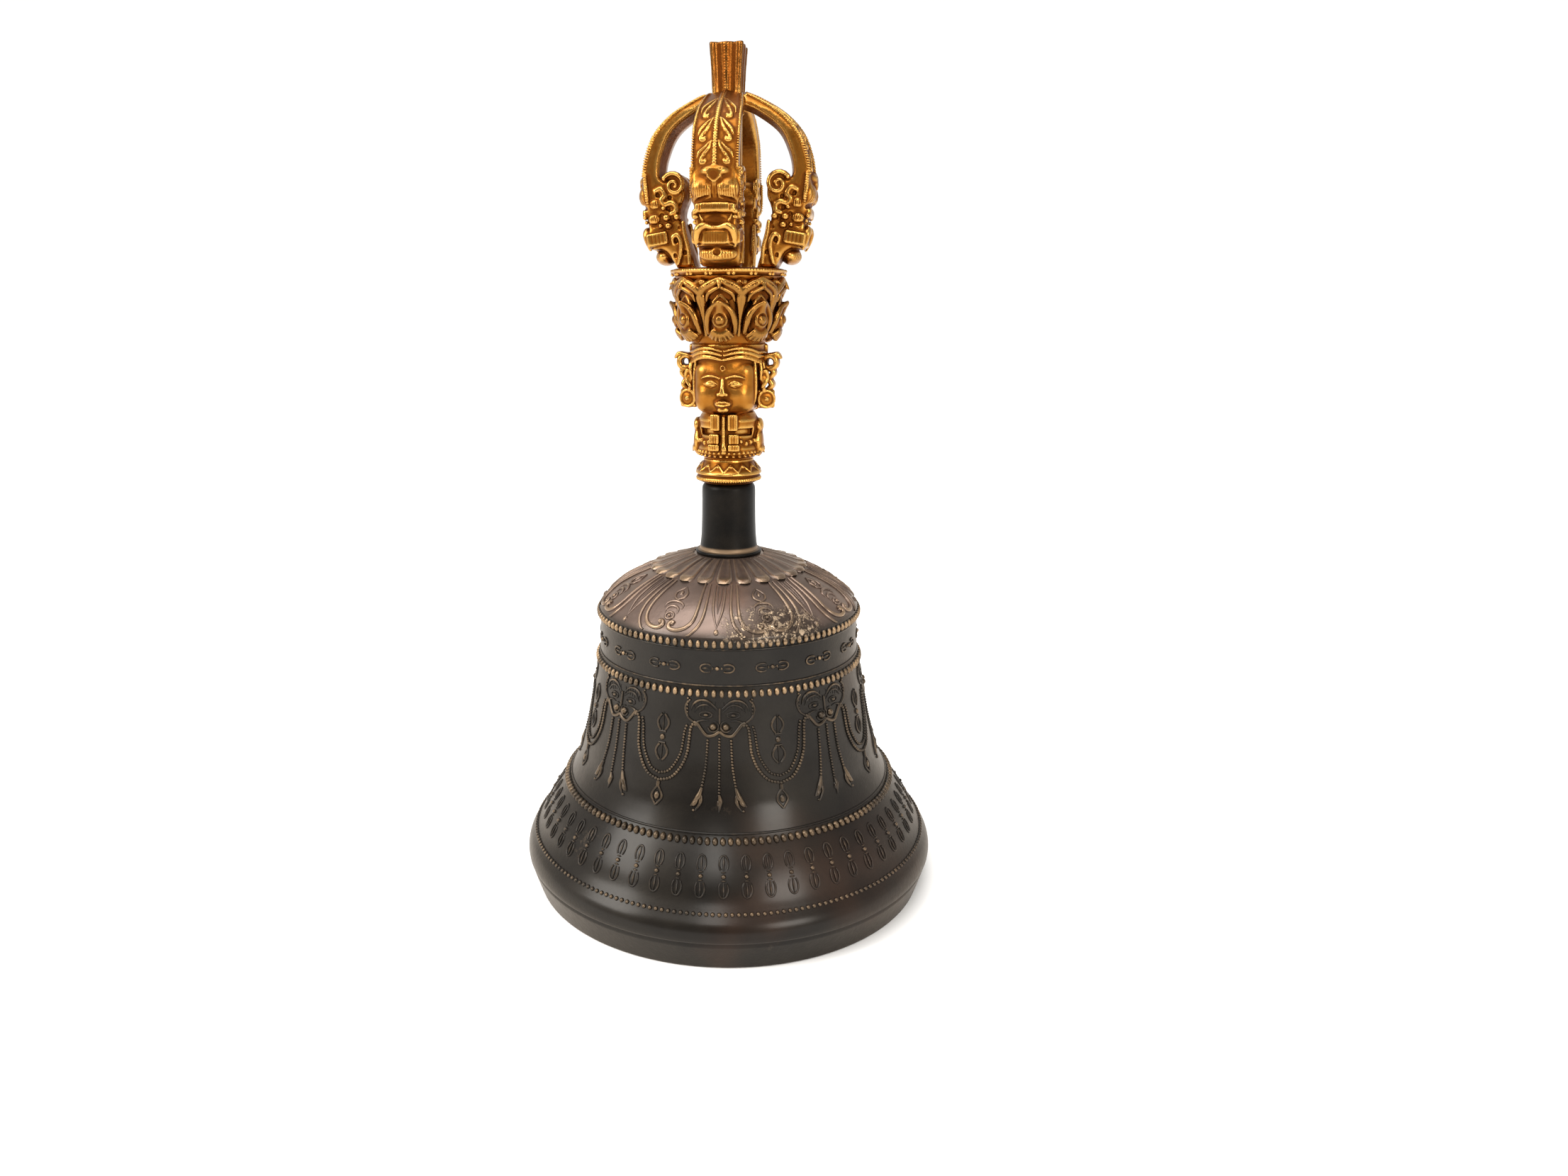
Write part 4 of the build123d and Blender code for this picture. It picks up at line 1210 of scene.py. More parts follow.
# Parted strands and a combed fringe, ears, round drops, and ribbons that curl out beside them.
for side in (-1, 1):
    for lift, radius, thick in ((119.0, 8.0, 0.52), (119.95, 8.1, 0.44), (120.8, 8.05, 0.38)):
        t = np.linspace(0, 1, 16)
        around = np.radians(2 + 84 * t) * side
        level = lift + 0.8 * np.sin(np.pi * np.clip(t * 1.5, 0, 1)) - 0.5 * t
        strand = np.stack([radius * np.sin(around), -radius * np.cos(around), level], 1)
        head_clay.rope(strand, [thick * 0.6, thick, thick, thick * 0.8], 0.12)
        head_clay.rope(strand * [1.055, 1.055, 1] + [0, 0, 0.1], 0.09, 0.03, carve=True)
    for k in range(16):
        around = np.radians(3 + 3.4 * k) * side
        level = 118.45 + 0.45 * math.sin(0.2 * k)
        comb = [
            (r * math.sin(around + lean), -r * math.cos(around + lean), z)
            for r, z, lean in ((8.45, level + 0.4, 0), (8.35, level - 0.35, 0.03 * side))
        ]
        head_clay.rope(comb, [0.12, 0.08], 0.05, carve=True)
    frame_line = smooth(
        [
            (side * 6.35, -5.0, 118.4), (side * 6.6, -5.2, 114.5), (side * 6.3, -5.0, 110.6),
            (side * 5.0, -5.0, 108.5)
        ],
        5
    )
    head_clay.rope(frame_line, [0.3, 0.36, 0.3], 0.2)
    for j, r in enumerate((7.35, 7.8, 7.9)):
        lock = smooth(
            [
                (side * r, -3.6 + 1.1 * j, 118.6), (side * (r + 0.2), -3.9 + 1.1 * j, 116.6),
                (side * r, -3.6 + 1.1 * j, 114.9)
            ],
            4
        )
        head_clay.rope(lock, [0.3, 0.42, 0.2], 0.12)
    ear = smooth(
        [
            (side * 7.6, -3.4, 116.2), (side * 8.5, -3.2, 116.6), (side * 8.8, -2.9, 115.4),
            (side * 8.4, -3.2, 114.1), (side * 7.7, -3.5, 113.3)
        ],
        5
    )
    head_clay.rope(ear, [0.3, 0.42, 0.4, 0.34], 0.15)
    head_clay.ball((side * 7.9, -2.7, 114.9), (0.9, 0.9, 1.7), 0.3)
    head_clay.rope(
        smooth([(side * 7.9, -3.7, 115.9), (side * 8.3, -3.7, 115.2), (side * 7.9, -3.9, 114.3)], 4), 0.15,
        0.05, carve=True
    )
    head_clay.rope([(side * 7.8, -3.0, 113.3), (side * 8.1, -2.6, 112.4)], 0.5, 0.2)
    head_clay.block((side * 8.35, -2.0, 110.7), (1.95, 0.62, 1.95), 0.15, soft=0.4, lean=(0, 0, side * 20))
    head_clay.ball((side * 8.35, -2.0, 110.7), (2.1, 1.0, 2.1), 0.1, lean=(0, 0, side * 20))
    rim = arc(0, 0, 1.75, 1.75, 0, 360, 24)
    c, s = math.cos(math.radians(side * 20)), math.sin(math.radians(side * 20))
    head_clay.rope(
        np.stack(
            [side * 8.35 + rim[:, 0] * c + 0.62 * s, -2.0 + rim[:, 0] * s - 0.62 * c, 110.7 + rim[:, 1]], 1
        ),
        0.3, 0.08
    )
    head_clay.ball((side * 8.35 + 0.85 * s, -2.0 - 0.85 * c, 110.7), 0.5, 0.1)
    ribbon = smooth(
        [
            (side * 8.5, -0.6, 112.4), (side * 9.6, -0.5, 113.6), (side * 8.9, -0.5, 114.9),
            (side * 9.9, -0.5, 116.1), (side * 9.3, -0.5, 117.3)
        ],
        6
    )
    for y in (-1.2, -0.4, 0.4, 1.2):
        head_clay.rope(ribbon + [0, y, 0], [0.55, 0.62, 0.55], 0.15)
    curl = smooth(
        [
            (side * 8.0, -0.6, 117.4), (side * 9.2, -0.6, 116.95), (side * 10.35, -0.6, 117.7),
            (side * 10.3, -0.6, 119.0), (side * 9.2, -0.6, 119.7), (side * 8.0, -0.6, 119.4)
        ],
        5
    )
    flick = smooth([(side * 9.4, -0.6, 119.8), (side * 10.6, -0.6, 120.0), (side * 11.4, -0.6, 119.2)], 4)
    for y in (-1.1, -0.35, 0.4, 1.1):
        head_clay.rope(curl + [0, y, 0], 0.6, 0.15)
        head_clay.rope(flick + [0, y, 0], [0.55, 0.5, 0.24], 0.15)
    head_clay.ball((side * 7.6, -0.2, 118.6), (1.2, 2.2, 1.4), 0.4)
# Locks of hair down the back.
for k in range(15):
    t = math.radians(75 + 14 * k)
    sway = 0.05 * math.sin(2.3 * k)
    t_line = t + sway * np.array([0, 1, 0, -1, 0])
    r = np.array([7.85, 7.5, 7.3, 7.0, 6.0])
    z = np.array([121.6, 118.0, 114.5, 111.0, 108.6])
    lock = smooth(np.stack([(r + 0.1) * np.sin(t_line), -(r + 0.1) * np.cos(t_line), z], 1), 4)
    if 88 < math.degrees(t) < 272:
        head_clay.rope(lock, [0.6, 0.75, 0.78, 0.7, 0.4], 0.12)
        for turn_by in (-0.035, 0.035):
            cosine, sine = math.cos(turn_by), math.sin(turn_by)
            shifted = np.stack(
                [
                    lock[:, 0] * cosine - lock[:, 1] * sine,
                    lock[:, 0] * sine + lock[:, 1] * cosine,
                    lock[:, 2],
                ],
                1
            )
            head_clay.rope(shifted * [1.095, 1.095, 1], 0.1, 0.03, carve=True)
head_clay.wheel([(3.9, 105.0), (3.9, 118.6), (3.4, 119.0), (3.4, 124.0)], 0.0, carve=True)
sculpted("head_gilt", "head", head_clay.skin())

# ---------------------------------------------------------------------------------------------
# The lotus capital.
# Eight carved petals stand round a flaring gilt core: each has a fluted frill, a set round stone
# and a point, and an arched leaf above it that curls out under the plate.

core_outline = np.concatenate(
    [
        [(3.4, 122.2)],
        smooth(
            [
                (7.8, 122.2), (8.3, 123.0), (8.6, 125.0), (8.7, 127.5), (8.9, 130.0), (9.3, 132.0),
                (10.0, 134.0), (10.9, 135.2), (11.3, 135.9)
            ],
            4
        ),
        [(3.4, 135.9)],
    ]
)
capital_core = turned("capital_core", core_outline, 96, gold)
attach(capital_core, "bell")
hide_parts("capital")

# One petal, facing the front, with half a leaf at each side that meets its neighbour's.
petal_clay = Clay((-5.4, -13.2, 122.0), (5.4, -6.0, 136.4), 0.15)
petal_clay.ball((0, -8.3, 126.6), (2.8, 2.3, 4.2), 0.3)
petal_clay.rope(
    smooth([(0, -9.6, 126.0), (0, -10.1, 128.2), (0, -10.3, 130.0), (0, -10.3, 131.4)], 5),
    [1.95, 1.9, 1.3, 0.4], 0.4
)
petal_clay.rope(smooth([(0, -10.6, 128.4), (0, -11.5, 129.8), (0, -12.75, 130.5)], 5), [1.2, 0.9, 0.16], 0.5)
for side in (-1, 1):
    edge = smooth(
        [
            (side * 2.6, -9.2, 124.6), (side * 2.85, -10.1, 126.4), (side * 2.5, -10.8, 128.3),
            (side * 1.5, -11.4, 129.7), (side * 0.15, -12.6, 130.75)
        ],
        6
    )
    petal_clay.rope(edge, [0.5, 0.64, 0.56, 0.26], 0.45)
    wing = smooth([(side * 1.9, -10.6, 129.2), (side * 1.3, -10.9, 130.7), (side * 0.1, -11.1, 132.0)], 5)
    petal_clay.rope(wing, [0.3, 0.4, 0.2], 0.3)
# The frill at its foot, and the round stone in its setting.
for k in range(-3, 4):
    t = k * 0.34
    a = (1.0 * math.sin(t), -10.75, 125.9 - 0.5 * math.cos(t))
    b = (2.65 * math.sin(t), -10.15 + 0.12 * abs(k), 125.8 - 2.7 * math.cos(t * 0.8))
    petal_clay.rope(smooth([a, ((a[0] + b[0]) / 2, -10.9, (a[2] + b[2]) / 2), b], 4), [0.32, 0.5, 0.46], 0.05)
petal_clay.ball((0, -11.3, 127.15), (1.68, 0.8, 1.68), 0.1)
petal_clay.ball((0, -12.05, 127.15), (1.32, 0.75, 1.32), 0.05, carve=True)
petal_clay.ball((0, -11.5, 127.15), (1.05, 0.85, 1.05), 0.05)
petal_clay.ball((-0.1, -12.35, 127.35), (0.26, 0.2, 0.26), 0.05, carve=True)
# The arched leaf above.
petal_clay.ball((0, -10.2, 132.7), (3.3, 0.95, 2.1), 0.3)
for side in (-1, 1):
    leaf_edge = smooth(
        [
            (side * 4.35, -9.3, 130.2), (side * 4.35, -9.7, 131.8), (side * 3.6, -10.5, 133.2),
            (side * 2.3, -11.0, 134.0), (side * 1.0, -11.3, 134.6), (0, -11.4, 135.2)
        ], 6
    )
    petal_clay.rope(leaf_edge, [0.6, 0.92, 0.86, 0.6], 0.5)
    petal_clay.rope(leaf_edge + [0, -0.86, 0.2], [0.08, 0.13, 0.13, 0.08], 0.05, carve=True)
    inner = smooth(
        [
            (side * 2.9, -10.6, 130.8), (side * 2.5, -11.1, 132.2), (side * 1.3, -11.6, 133.0),
            (0, -12.1, 133.6)
        ],
        5
    )
    petal_clay.rope(inner, [0.2, 0.42, 0.42, 0.3], 0.4)
    stem = smooth(
        [
            (side * 3.35, -8.2, 124.0), (side * 3.6, -8.7, 126.6), (side * 4.0, -9.2, 129.0),
            (side * 4.6, -10.0, 131.6)
        ],
        5
    )
    petal_clay.rope(stem, [0.3, 0.48, 0.6, 0.6], 0.45)
petal_clay.rope(smooth([(0, -11.0, 134.8), (0, -11.9, 134.5), (0, -12.8, 133.3)], 4), [0.7, 0.55, 0.16], 0.25)
petal_clay.rope([(0, -11.9, 135.0), (0, -12.9, 133.9)], 0.08, 0.03, carve=True)
petal_clay.ball((4.3, -10.3, 134.6), (1.3, 0.7, 0.7), 0.3, lean=(0, 0, 22))
petal_clay.rope([(4.25, -10.4, 134.9), (4.75, -11.75, 134.3)], [0.55, 0.14], 0.2)
points, faces, worn = petal_clay.skin()
lotus_petal = mesh_piece("lotus_petal", points * 0.001, faces, gold, {"worn": worn})
scene.collection.objects.unlink(lotus_petal)
sheets.objects.link(lotus_petal)
# The ring of eight keeps its shape with about half of the faces.
thinner = lotus_petal.modifiers.new("thinner", "DECIMATE")
thinner.ratio = 0.46


def ring_tree():
    """Copies a form evenly round the upright axis."""
    tree = bpy.data.node_groups.new("ring_of_petals", "GeometryNodeTree")
    tree.interface.new_socket("Geometry", in_out="OUTPUT", socket_type="NodeSocketGeometry")
    for label, kind in (
        ("Geometry", "Geometry"), ("Form", "Object"), ("Copies", "Int"), ("Start", "Float"),
        ("Finish", "Material")
    ):
        tree.interface.new_socket(label, in_out="INPUT", socket_type="NodeSocket" + kind)
    graph = Graph(tree)
    given = graph.add("NodeGroupInput")
    form = graph.add("GeometryNodeObjectInfo", None, {"Object": given.output("Form")}).output("Geometry")
    spots = graph.add(
        "GeometryNodeMeshLine", None, {"Count": given.output("Copies"), "Offset": (0.0, 0.0, 0.0)}
    )
    turn = graph.add(
        "GeometryNodeInputIndex"
    ) * (2 * math.pi) / given.output("Copies") + given.output("Start")
    turn = graph.add("ShaderNodeCombineXYZ", None, {2: turn})
    ring = graph.add(
        "GeometryNodeInstanceOnPoints", None, {"Points": spots, "Instance": form, "Rotation": turn}
    )
    ring = graph.add("GeometryNodeRealizeInstances", None, {"Geometry": ring})
    ring = graph.add("GeometryNodeSetMaterial", None, {"Geometry": ring, "Material": given.output("Finish")})
    graph.feed(tree.nodes.new("NodeGroupOutput"), {0: ring})
    return tree


petal_ring = bpy.data.objects.new("capital_petals", bpy.data.meshes.new("capital_petals"))
scene.collection.objects.link(petal_ring)
modifier = petal_ring.modifiers.new("ring", "NODES")
modifier.node_group = ring_tree()
given = {"Form": lotus_petal, "Copies": 8, "Start": 0.0, "Finish": gold}
for item in modifier.node_group.interface.items_tree:
    if item.item_type == "SOCKET" and item.in_out == "INPUT" and item.name in given:
        modifier[item.identifier] = given[item.name]
settled = petal_ring.evaluated_get(bpy.context.evaluated_depsgraph_get())
ring_mesh = bpy.data.meshes.new_from_object(settled)
petal_ring.modifiers.remove(modifier)
petal_ring.data = ring_mesh
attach(petal_ring, "bell")
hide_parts("capital")

# ---------------------------------------------------------------------------------------------
# The crown plate.
# A gilt disc under the prongs, with a milled lip round its top and pairs of grains on its slope.

plate_clay = Clay((-12.9, -12.9, 135.0), (12.9, 12.9, 138.2), 0.17)
plate_clay.wheel(
    [
        (9.2, 135.3), (10.9, 135.75), (11.7, 136.2), (12.2, 136.7), (12.25, 137.05), (11.6, 137.35),
        (10.6, 137.5)
    ],
    0.0
)
plate_clay.beads(round_about(12.15, 136.95, 112), (0.2, 0.2, 0.34), blend=0.05)
for k in range(16):
    for shift in (-2.3, 2.3):
        t = math.radians(22.5 * k + 11.25 + shift)
        plate_clay.ball((11.85 * math.sin(t), -11.85 * math.cos(t), 136.25), 0.4, 0.05)
plate_clay.wheel([(3.4, 134.0), (3.4, 139.0)], 0.0, carve=True)
sculpted("plate_gilt", "crown_plate", plate_clay.skin())

# ---------------------------------------------------------------------------------------------
# The prongs.
# Four alike: gilt bands that spring from sea monsters' jaws on the plate and close on the spire. Each
# has a milled ridge and edges, curling leaves on its outer face, and a volute behind the monster.

outer_edge = smooth(
    [
        (10.4, 137.4), (11.5, 139.2), (12.6, 140.6), (14.6, 141.7), (16.1, 143.0), (16.2, 144.8),
        (15.4, 146.2), (16.4, 147.4), (16.8, 149.2), (17.6, 151.2), (18.0, 152.6), (17.7, 155.3),
        (17.1, 159.1), (15.2, 163.6), (11.5, 167.4), (6.3, 170.4), (2.6, 171.8)
    ],
    6,
)
inner_edge = smooth(
    [(2.6, 168.6), (5.9, 167.2), (10.4, 163.9), (12.6, 159.6), (13.2, 156.2), (12.6, 155.2)], 6
)
inner_foot = smooth(
    [
        (12.6, 155.2), (11.4, 156.2), (9.6, 155.7), (8.3, 153.9), (8.2, 151.6), (9.0, 149.8), (9.3, 148.0),
        (8.6, 145.0), (7.3, 141.0), (6.2, 137.4)
    ],
    6
)
side_view = np.concatenate([outer_edge, inner_edge, inner_foot[1:]])
prong_clay = Clay((1.8, -5.3, 137.2), (18.6, 5.3, 172.4), 0.16, mirror=1)
cut, x, y, z = prong_clay.part((1.8, -5.3, 137.2), (18.6, 5.3, 172.4))
flat_x, flat_z = x[:, 0, :], z[:, 0, :]
closest = np.full(np.broadcast(flat_x, flat_z).shape, 1e9)
within = np.zeros(closest.shape, bool)
for (ax, az), (bx, bz) in zip(side_view, np.roll(side_view, -1, axis=0)):
    ex, ez = bx - ax, bz - az
    t = np.clip(((flat_x - ax) * ex + (flat_z - az) * ez) / max(ex * ex + ez * ez, 1e-9), 0, 1)
    closest = np.minimum(closest, np.hypot(flat_x - ax - t * ex, flat_z - az - t * ez))
    crosses = (az > flat_z) != (bz > flat_z)
    within ^= crosses & (flat_x < ax + (flat_z - az) * ex / (ez if ez else 1e-9))
side_gap = np.where(within, -closest, closest)[:, None, :]
half_width = np.interp(
    z, [137.4, 139.5, 142, 146, 150, 154, 164, 168, 170.5, 172.0],
    [4.0, 4.1, 4.3, 4.15, 4.45, 4.5, 4.5, 4.2, 3.6, 2.9]
)
half_width = np.minimum(half_width, x - 0.05)
roof = 0.17 * np.maximum(np.abs(y) - 0.3, 0) * np.interp(
    z, [137.4, 150.0, 155.0, 172.0], [0.35, 0.35, 1.0, 1.0]
)
form = np.maximum(side_gap + roof, np.abs(y) - half_width)
meet = np.maximum(0.8 - np.abs(side_gap + roof - (np.abs(y) - half_width)), 0) / 0.8
prong_clay.join(cut, form + meet**2 * 0.2, 0.0, False)


def on_prong(z, y, lift=0.0):
    """A place on the prong's outer face, from its height and its way across."""
    order = np.argsort(outer_edge[:, 1])
    x = np.interp(z, outer_edge[order, 1], outer_edge[order, 0])
    return (float(x) - 0.17 * max(abs(y) - 0.3, 0) + lift, y, z)


# The milled ridge and edges of the band, and three pairs of curling leaves.
band = outer_edge[outer_edge[:, 1] > 155.6]
band = band[np.argsort(band[:, 1])]
way = np.concatenate([[0], np.cumsum(np.hypot(*np.diff(band, axis=0).T))])
for s in np.arange(0, way[-1] - 0.6, 0.56):
    x, z = np.interp(s, way, band[:, 0]), np.interp(s, way, band[:, 1])
    prong_clay.ball((x + 0.08, 0, z + 0.05), (0.42, 0.55, 0.30), 0.05)
for s in np.arange(0, way[-1] - 2.0, 0.5):
    x, z = np.interp(s, way, band[:, 0]), np.interp(s, way, band[:, 1])
    wide = min(float(np.interp(z, [154, 164, 168, 170.5, 172.0], [4.5, 4.5, 4.2, 3.6, 2.9])), x - 0.05)
    prong_clay.ball((x - 0.62, wide - 0.12, z - 0.25), (0.5, 0.36, 0.22), 0.05, both=True)
for top, start, wide in ((169.3, 165.9, 2.5), (164.9, 161.4, 2.75), (160.4, 157.2, 2.6)):
    leaf = smooth(
        [
            (top, 0.7), (top - 1.2, 1.1), (start + 0.9, 2.0), (start - 0.1, wide),
            (start - 0.75, wide + 0.15), (start - 0.9, wide - 0.5), (start - 0.35, wide - 0.75)
        ],
        5
    )
    prong_clay.rope([on_prong(z, y, 0.05) for z, y in leaf], [0.16, 0.34, 0.36, 0.3, 0.26], 0.12, both=True)
    blade = smooth([(top - 0.1, 1.0), (top - 1.4, 2.2), (start + 1.1, 3.1), (start + 0.1, 3.4)], 5)
    prong_clay.rope([on_prong(z, y, 0.02) for z, y in blade], [0.12, 0.3, 0.28, 0.12], 0.12, both=True)
    for k in range(4):
        z0 = top - 1.0 - 0.6 * k
        prong_clay.rope(
            [on_prong(z0, 1.35 + 0.2 * k, 0.2), on_prong(z0 - 0.75, 2.2 + 0.2 * k, 0.12)], 0.1, 0.03,
            carve=True, both=True
        )
    prong_clay.ball(on_prong(start - 0.6, wide - 0.25, 0.0), 0.34, 0.05, both=True)

# The monster's head: nose, whiskered lips, teeth, tongue and jaw, then its eyes and cheeks.
prong_clay.ball((17.35, 0, 154.9), (1.15, 2.75, 1.15), 0.5)
prong_clay.ball((17.95, 0, 153.75), (1.0, 1.5, 1.35), 0.4)
prong_clay.ball((17.6, 0, 154.75), (1.05, 2.35, 0.8), 0.3)
prong_clay.ball((16.7, 2.2, 151.75), (1.75, 2.5, 2.15), 0.45, both=True)
prong_clay.rope(
    [(18.15, 2.8, 154.5), (18.5, 1.6, 153.3), (18.6, 0.1, 152.1)], [0.2, 0.52, 0.5], 0.08, carve=True,
    both=True
)
prong_clay.rope([(18.5, 0, 152.4), (18.3, 0, 151.2), (17.9, 0, 149.9)], [0.42, 0.42, 0.46], 0.08, carve=True)
for k in range(9):
    y = 0.55 + 0.45 * k
    hair = []
    for z in (153.1, 152.4, 151.6, 150.8, 150.2):
        inside = 1 - ((y - 2.2) / 2.5) ** 2 - ((z - 151.75) / 2.15) ** 2
        hair.append((16.7 + 1.75 * math.sqrt(max(inside, 0.02)) + 0.03, y, z))
    prong_clay.rope(hair, [0.04, 0.13, 0.13], 0.02, carve=True, both=True)
for k in range(7):
    y = -1.5 + 0.5 * k
    prong_clay.rope(
        [(18.45 - 0.1 * y * y, y, 155.6), (18.8 - 0.16 * y * y, y * 0.7, 154.4)], [0.11, 0.05], 0.02,
        carve=True
    )
prong_clay.block((16.1, 0, 148.4), (1.45, 4.1, 1.1), 0.3, soft=0.8)
prong_clay.rope(
    smooth([(18.1, 0, 150.1), (17.7, 2.2, 149.75), (16.5, 4.6, 149.2)], 5), [0.55, 0.5, 0.4], 0.08,
    carve=True, both=True
)
for k in range(9):
    prong_clay.rope(
        [(17.55, 0.2 + 0.44 * k, 149.2), (17.6, 0.2 + 0.44 * k, 147.7)], 0.1, 0.02, carve=True, both=True
    )
prong_clay.rope([(17.5, 3.0, 149.2), (17.5, 3.0, 147.4)], 0.16, 0.02, carve=True, both=True)
prong_clay.block((15.2, 0, 145.9), (0.95, 4.0, 1.6), 0.3, soft=0.5)
prong_clay.ball((17.3, 0, 146.2), (1.75, 2.9, 1.25), 0.2, carve=True)
prong_clay.rope(
    smooth([(16.5, 3.3, 147.3), (16.2, 2.6, 146.0), (16.0, 1.6, 145.1), (16.0, 0, 144.9)], 5),
    [0.14, 0.24, 0.2, 0.2], 0.12, both=True
)
prong_clay.block((14.9, 0, 143.2), (1.5, 4.1, 1.9), 0.3, soft=0.7)
jaw = smooth(
    [
        (15.9, 3.75, 141.2), (16.5, 3.75, 142.9), (16.75, 3.35, 144.3), (16.75, 2.3, 145.0),
        (16.5, 1.0, 144.75), (16.35, 0, 144.7)
    ],
    5
)
prong_clay.rope(jaw, [0.3, 0.6, 0.8, 0.72, 0.42, 0.3], 0.25, both=True)
prong_clay.block((15.9, 0, 142.9), (0.85, 2.75, 1.35), 0.25, soft=0.5)
for k in range(11):
    prong_clay.rope(
        [(16.78, -2.5 + 0.5 * k, 144.0), (16.78, -2.5 + 0.5 * k, 141.9)], [0.1, 0.14], 0.02, carve=True
    )
prong_clay.rope(
    smooth(
        [(15.2, -4.3, 141.9), (16.6, -2.6, 141.3), (16.3, 0, 140.8), (16.6, 2.6, 141.3), (15.2, 4.3, 141.9)],
        5
    ),
    [0.3, 0.42, 0.6, 0.42, 0.3], 0.15, carve=True
)
prong_clay.ball((13.3, 0, 139.9), (2.1, 3.9, 1.75), 0.4)
prong_clay.ball((15.5, 0, 140.3), (0.8, 0.9, 1.0), 0.3, carve=True)
for k in range(13):
    y = -3.3 + 0.55 * k
    x = 13.3 + 2.1 * math.sqrt(1 - (y / 3.9) ** 2)
    prong_clay.rope(
        [(x - 0.3, y, 141.0), (x + 0.02, y, 139.9), (x - 0.4, y, 138.7)], [0.06, 0.12, 0.1], 0.02, carve=True
    )
# At its sides: a beaded edge cord, a volute, a curling mane, striped tufts and the gaping jaw.
prong_clay.rope(
    smooth([(16.6, 4.3, 155.6), (16.5, 4.45, 153.0), (16.2, 4.5, 151.0), (16.0, 4.3, 149.6)], 5),
    [0.5, 0.55, 0.42, 0.16], 0.12, both=True
)
for k in range(12):
    t = k / 11
    prong_clay.ball((16.65 - 0.5 * t**1.8, 4.85, 155.5 - 5.2 * t), (0.5, 0.3, 0.17), 0.03, both=True)
prong_clay.ball((10.7, 0, 153.8), (2.55, 4.75, 2.55), 0.3)
turn = np.radians(np.arange(0, 520, 20))
coil = 2.35 - 0.0041 * np.degrees(turn)
for depth, radius, lift, carve in (
    (4.35, [0.62, 0.55, 0.4], 0.0, False), (4.75, [0.34, 0.34, 0.3], -0.62, True)
):
    x, z = 10.7 + (coil + lift) * np.cos(turn + 0.6), 153.8 + (coil + lift) * np.sin(turn + 0.6)
    prong_clay.rope(np.stack([x, np.full(len(x), depth), z], 1), radius, 0.06, carve=carve, both=True)
mane = smooth(
    [
        (14.6, 152.7), (13.4, 153.1), (12.6, 151.9), (13.3, 150.9), (12.5, 150.0), (11.4, 150.4),
        (10.4, 149.9), (10.4, 148.7), (11.3, 148.3)
    ],
    5
)
prong_clay.rope(
    np.stack([mane[:, 0], np.full(len(mane), 4.3), mane[:, 1]], 1), [0.5, 0.62, 0.62, 0.5], 0.1, both=True
)
for x, z, r in (
    (14.1, 151.9, 0.5), (11.6, 151.4, 0.5), (11.9, 149.2, 0.55), (9.3, 149.9, 0.55), (13.3, 148.0, 0.55),
    (11.0, 147.0, 0.6), (12.6, 145.3, 0.5), (9.6, 145.6, 0.6)
):
    prong_clay.ball((x, 4.7, z), (r, 0.8, r), 0.12, carve=True, both=True)
for x, z in ((14.7, 150.1), (14.9, 147.2)):
    prong_clay.ball((x, 4.1, z), (1.3, 1.0, 1.05), 0.1, both=True)
    for k in range(5):
        x0 = x - 0.9 + 0.42 * k
        prong_clay.rope(
            [
                (x0 + 0.25, 5.0 - 0.25 * abs(k - 2) * 0.5, z + 0.75),
                (x0, 5.05 - 0.25 * abs(k - 2) * 0.5, z - 0.75)
            ],
            0.14, 0.02, carve=True, both=True
        )
for x, z, r in (
    (12.3, 147.5, 0.85), (11.9, 145.9, 0.8), (13.6, 145.9, 0.6), (10.1, 147.6, 0.75), (12.9, 149.3, 0.55)
):
    prong_clay.ball((x, 4.2, z), (r, 0.9, r * 0.85), 0.1, both=True)
    prong_clay.rope(
        [(x - 0.1, 5.1, z + r * 0.5), (x + 0.15, 5.1, z - r * 0.5)], 0.13, 0.02, carve=True, both=True
    )
prong_clay.ball((15.2, 4.7, 145.9), (1.5, 0.8, 0.42), 0.08, carve=True, both=True)
prong_clay.block((14.3, 3.9, 143.3), (2.3, 0.95, 1.35), 0.15, both=True, soft=0.5, lean=(0, 10, 0))
for k in range(4):
    prong_clay.rope(
        [(13.1 + 0.8 * k, 4.9, 144.3), (12.9 + 0.8 * k, 4.9, 142.5)], 0.15, 0.03, carve=True, both=True
    )
for x, z, r in ((17.3, 147.6, 0.5), (17.0, 146.6, 0.4)):
    prong_clay.ball((x - 0.4, 3.9, z), (r, 0.6, r), 0.1, both=True)
# Scrolls on the stem, and flutes behind the volute.
scroll = smooth(
    [
        (9.9, 4.0, 138.4), (9.4, 4.05, 140.6), (9.3, 4.1, 142.8), (10.1, 4.1, 144.1), (11.1, 4.1, 143.6),
        (10.8, 4.1, 142.4)
    ],
    6
)
prong_clay.rope(scroll, [0.4, 0.6, 0.55, 0.4], 0.1, both=True)
prong_clay.rope(
    smooth([(7.6, 4.0, 138.4), (7.8, 4.0, 141.2), (8.5, 4.1, 144.0), (8.9, 4.1, 146.6)], 5), [0.4, 0.5, 0.4],
    0.1, both=True
)
for x, z in ((8.6, 140.6), (10.6, 140.0), (10.4, 143.0)):
    prong_clay.ball((x, 4.4, z), (0.42, 0.7, 0.6), 0.06, carve=True, both=True)
for y in (-2.7, -0.9, 0.9, 2.7):
    prong_clay.rope([(8.2, y, 154.6), (7.95, y, 153.0), (8.3, y, 151.4)], 0.2, 0.05, carve=True)
prong_skin = prong_clay.skin()
for node, quarter in (("prong_front", -1), ("prong_right", 0), ("prong_back", 1), ("prong_left", 2)):
    sculpted(node + "_gilt", node, prong_skin, quarter * math.pi / 2)

# ---------------------------------------------------------------------------------------------
# The spire.
# The square shaft that the prongs close on, cast gilt, with a rib at each corner and a milled one
# up the middle of each face, widening a little to its flat top.

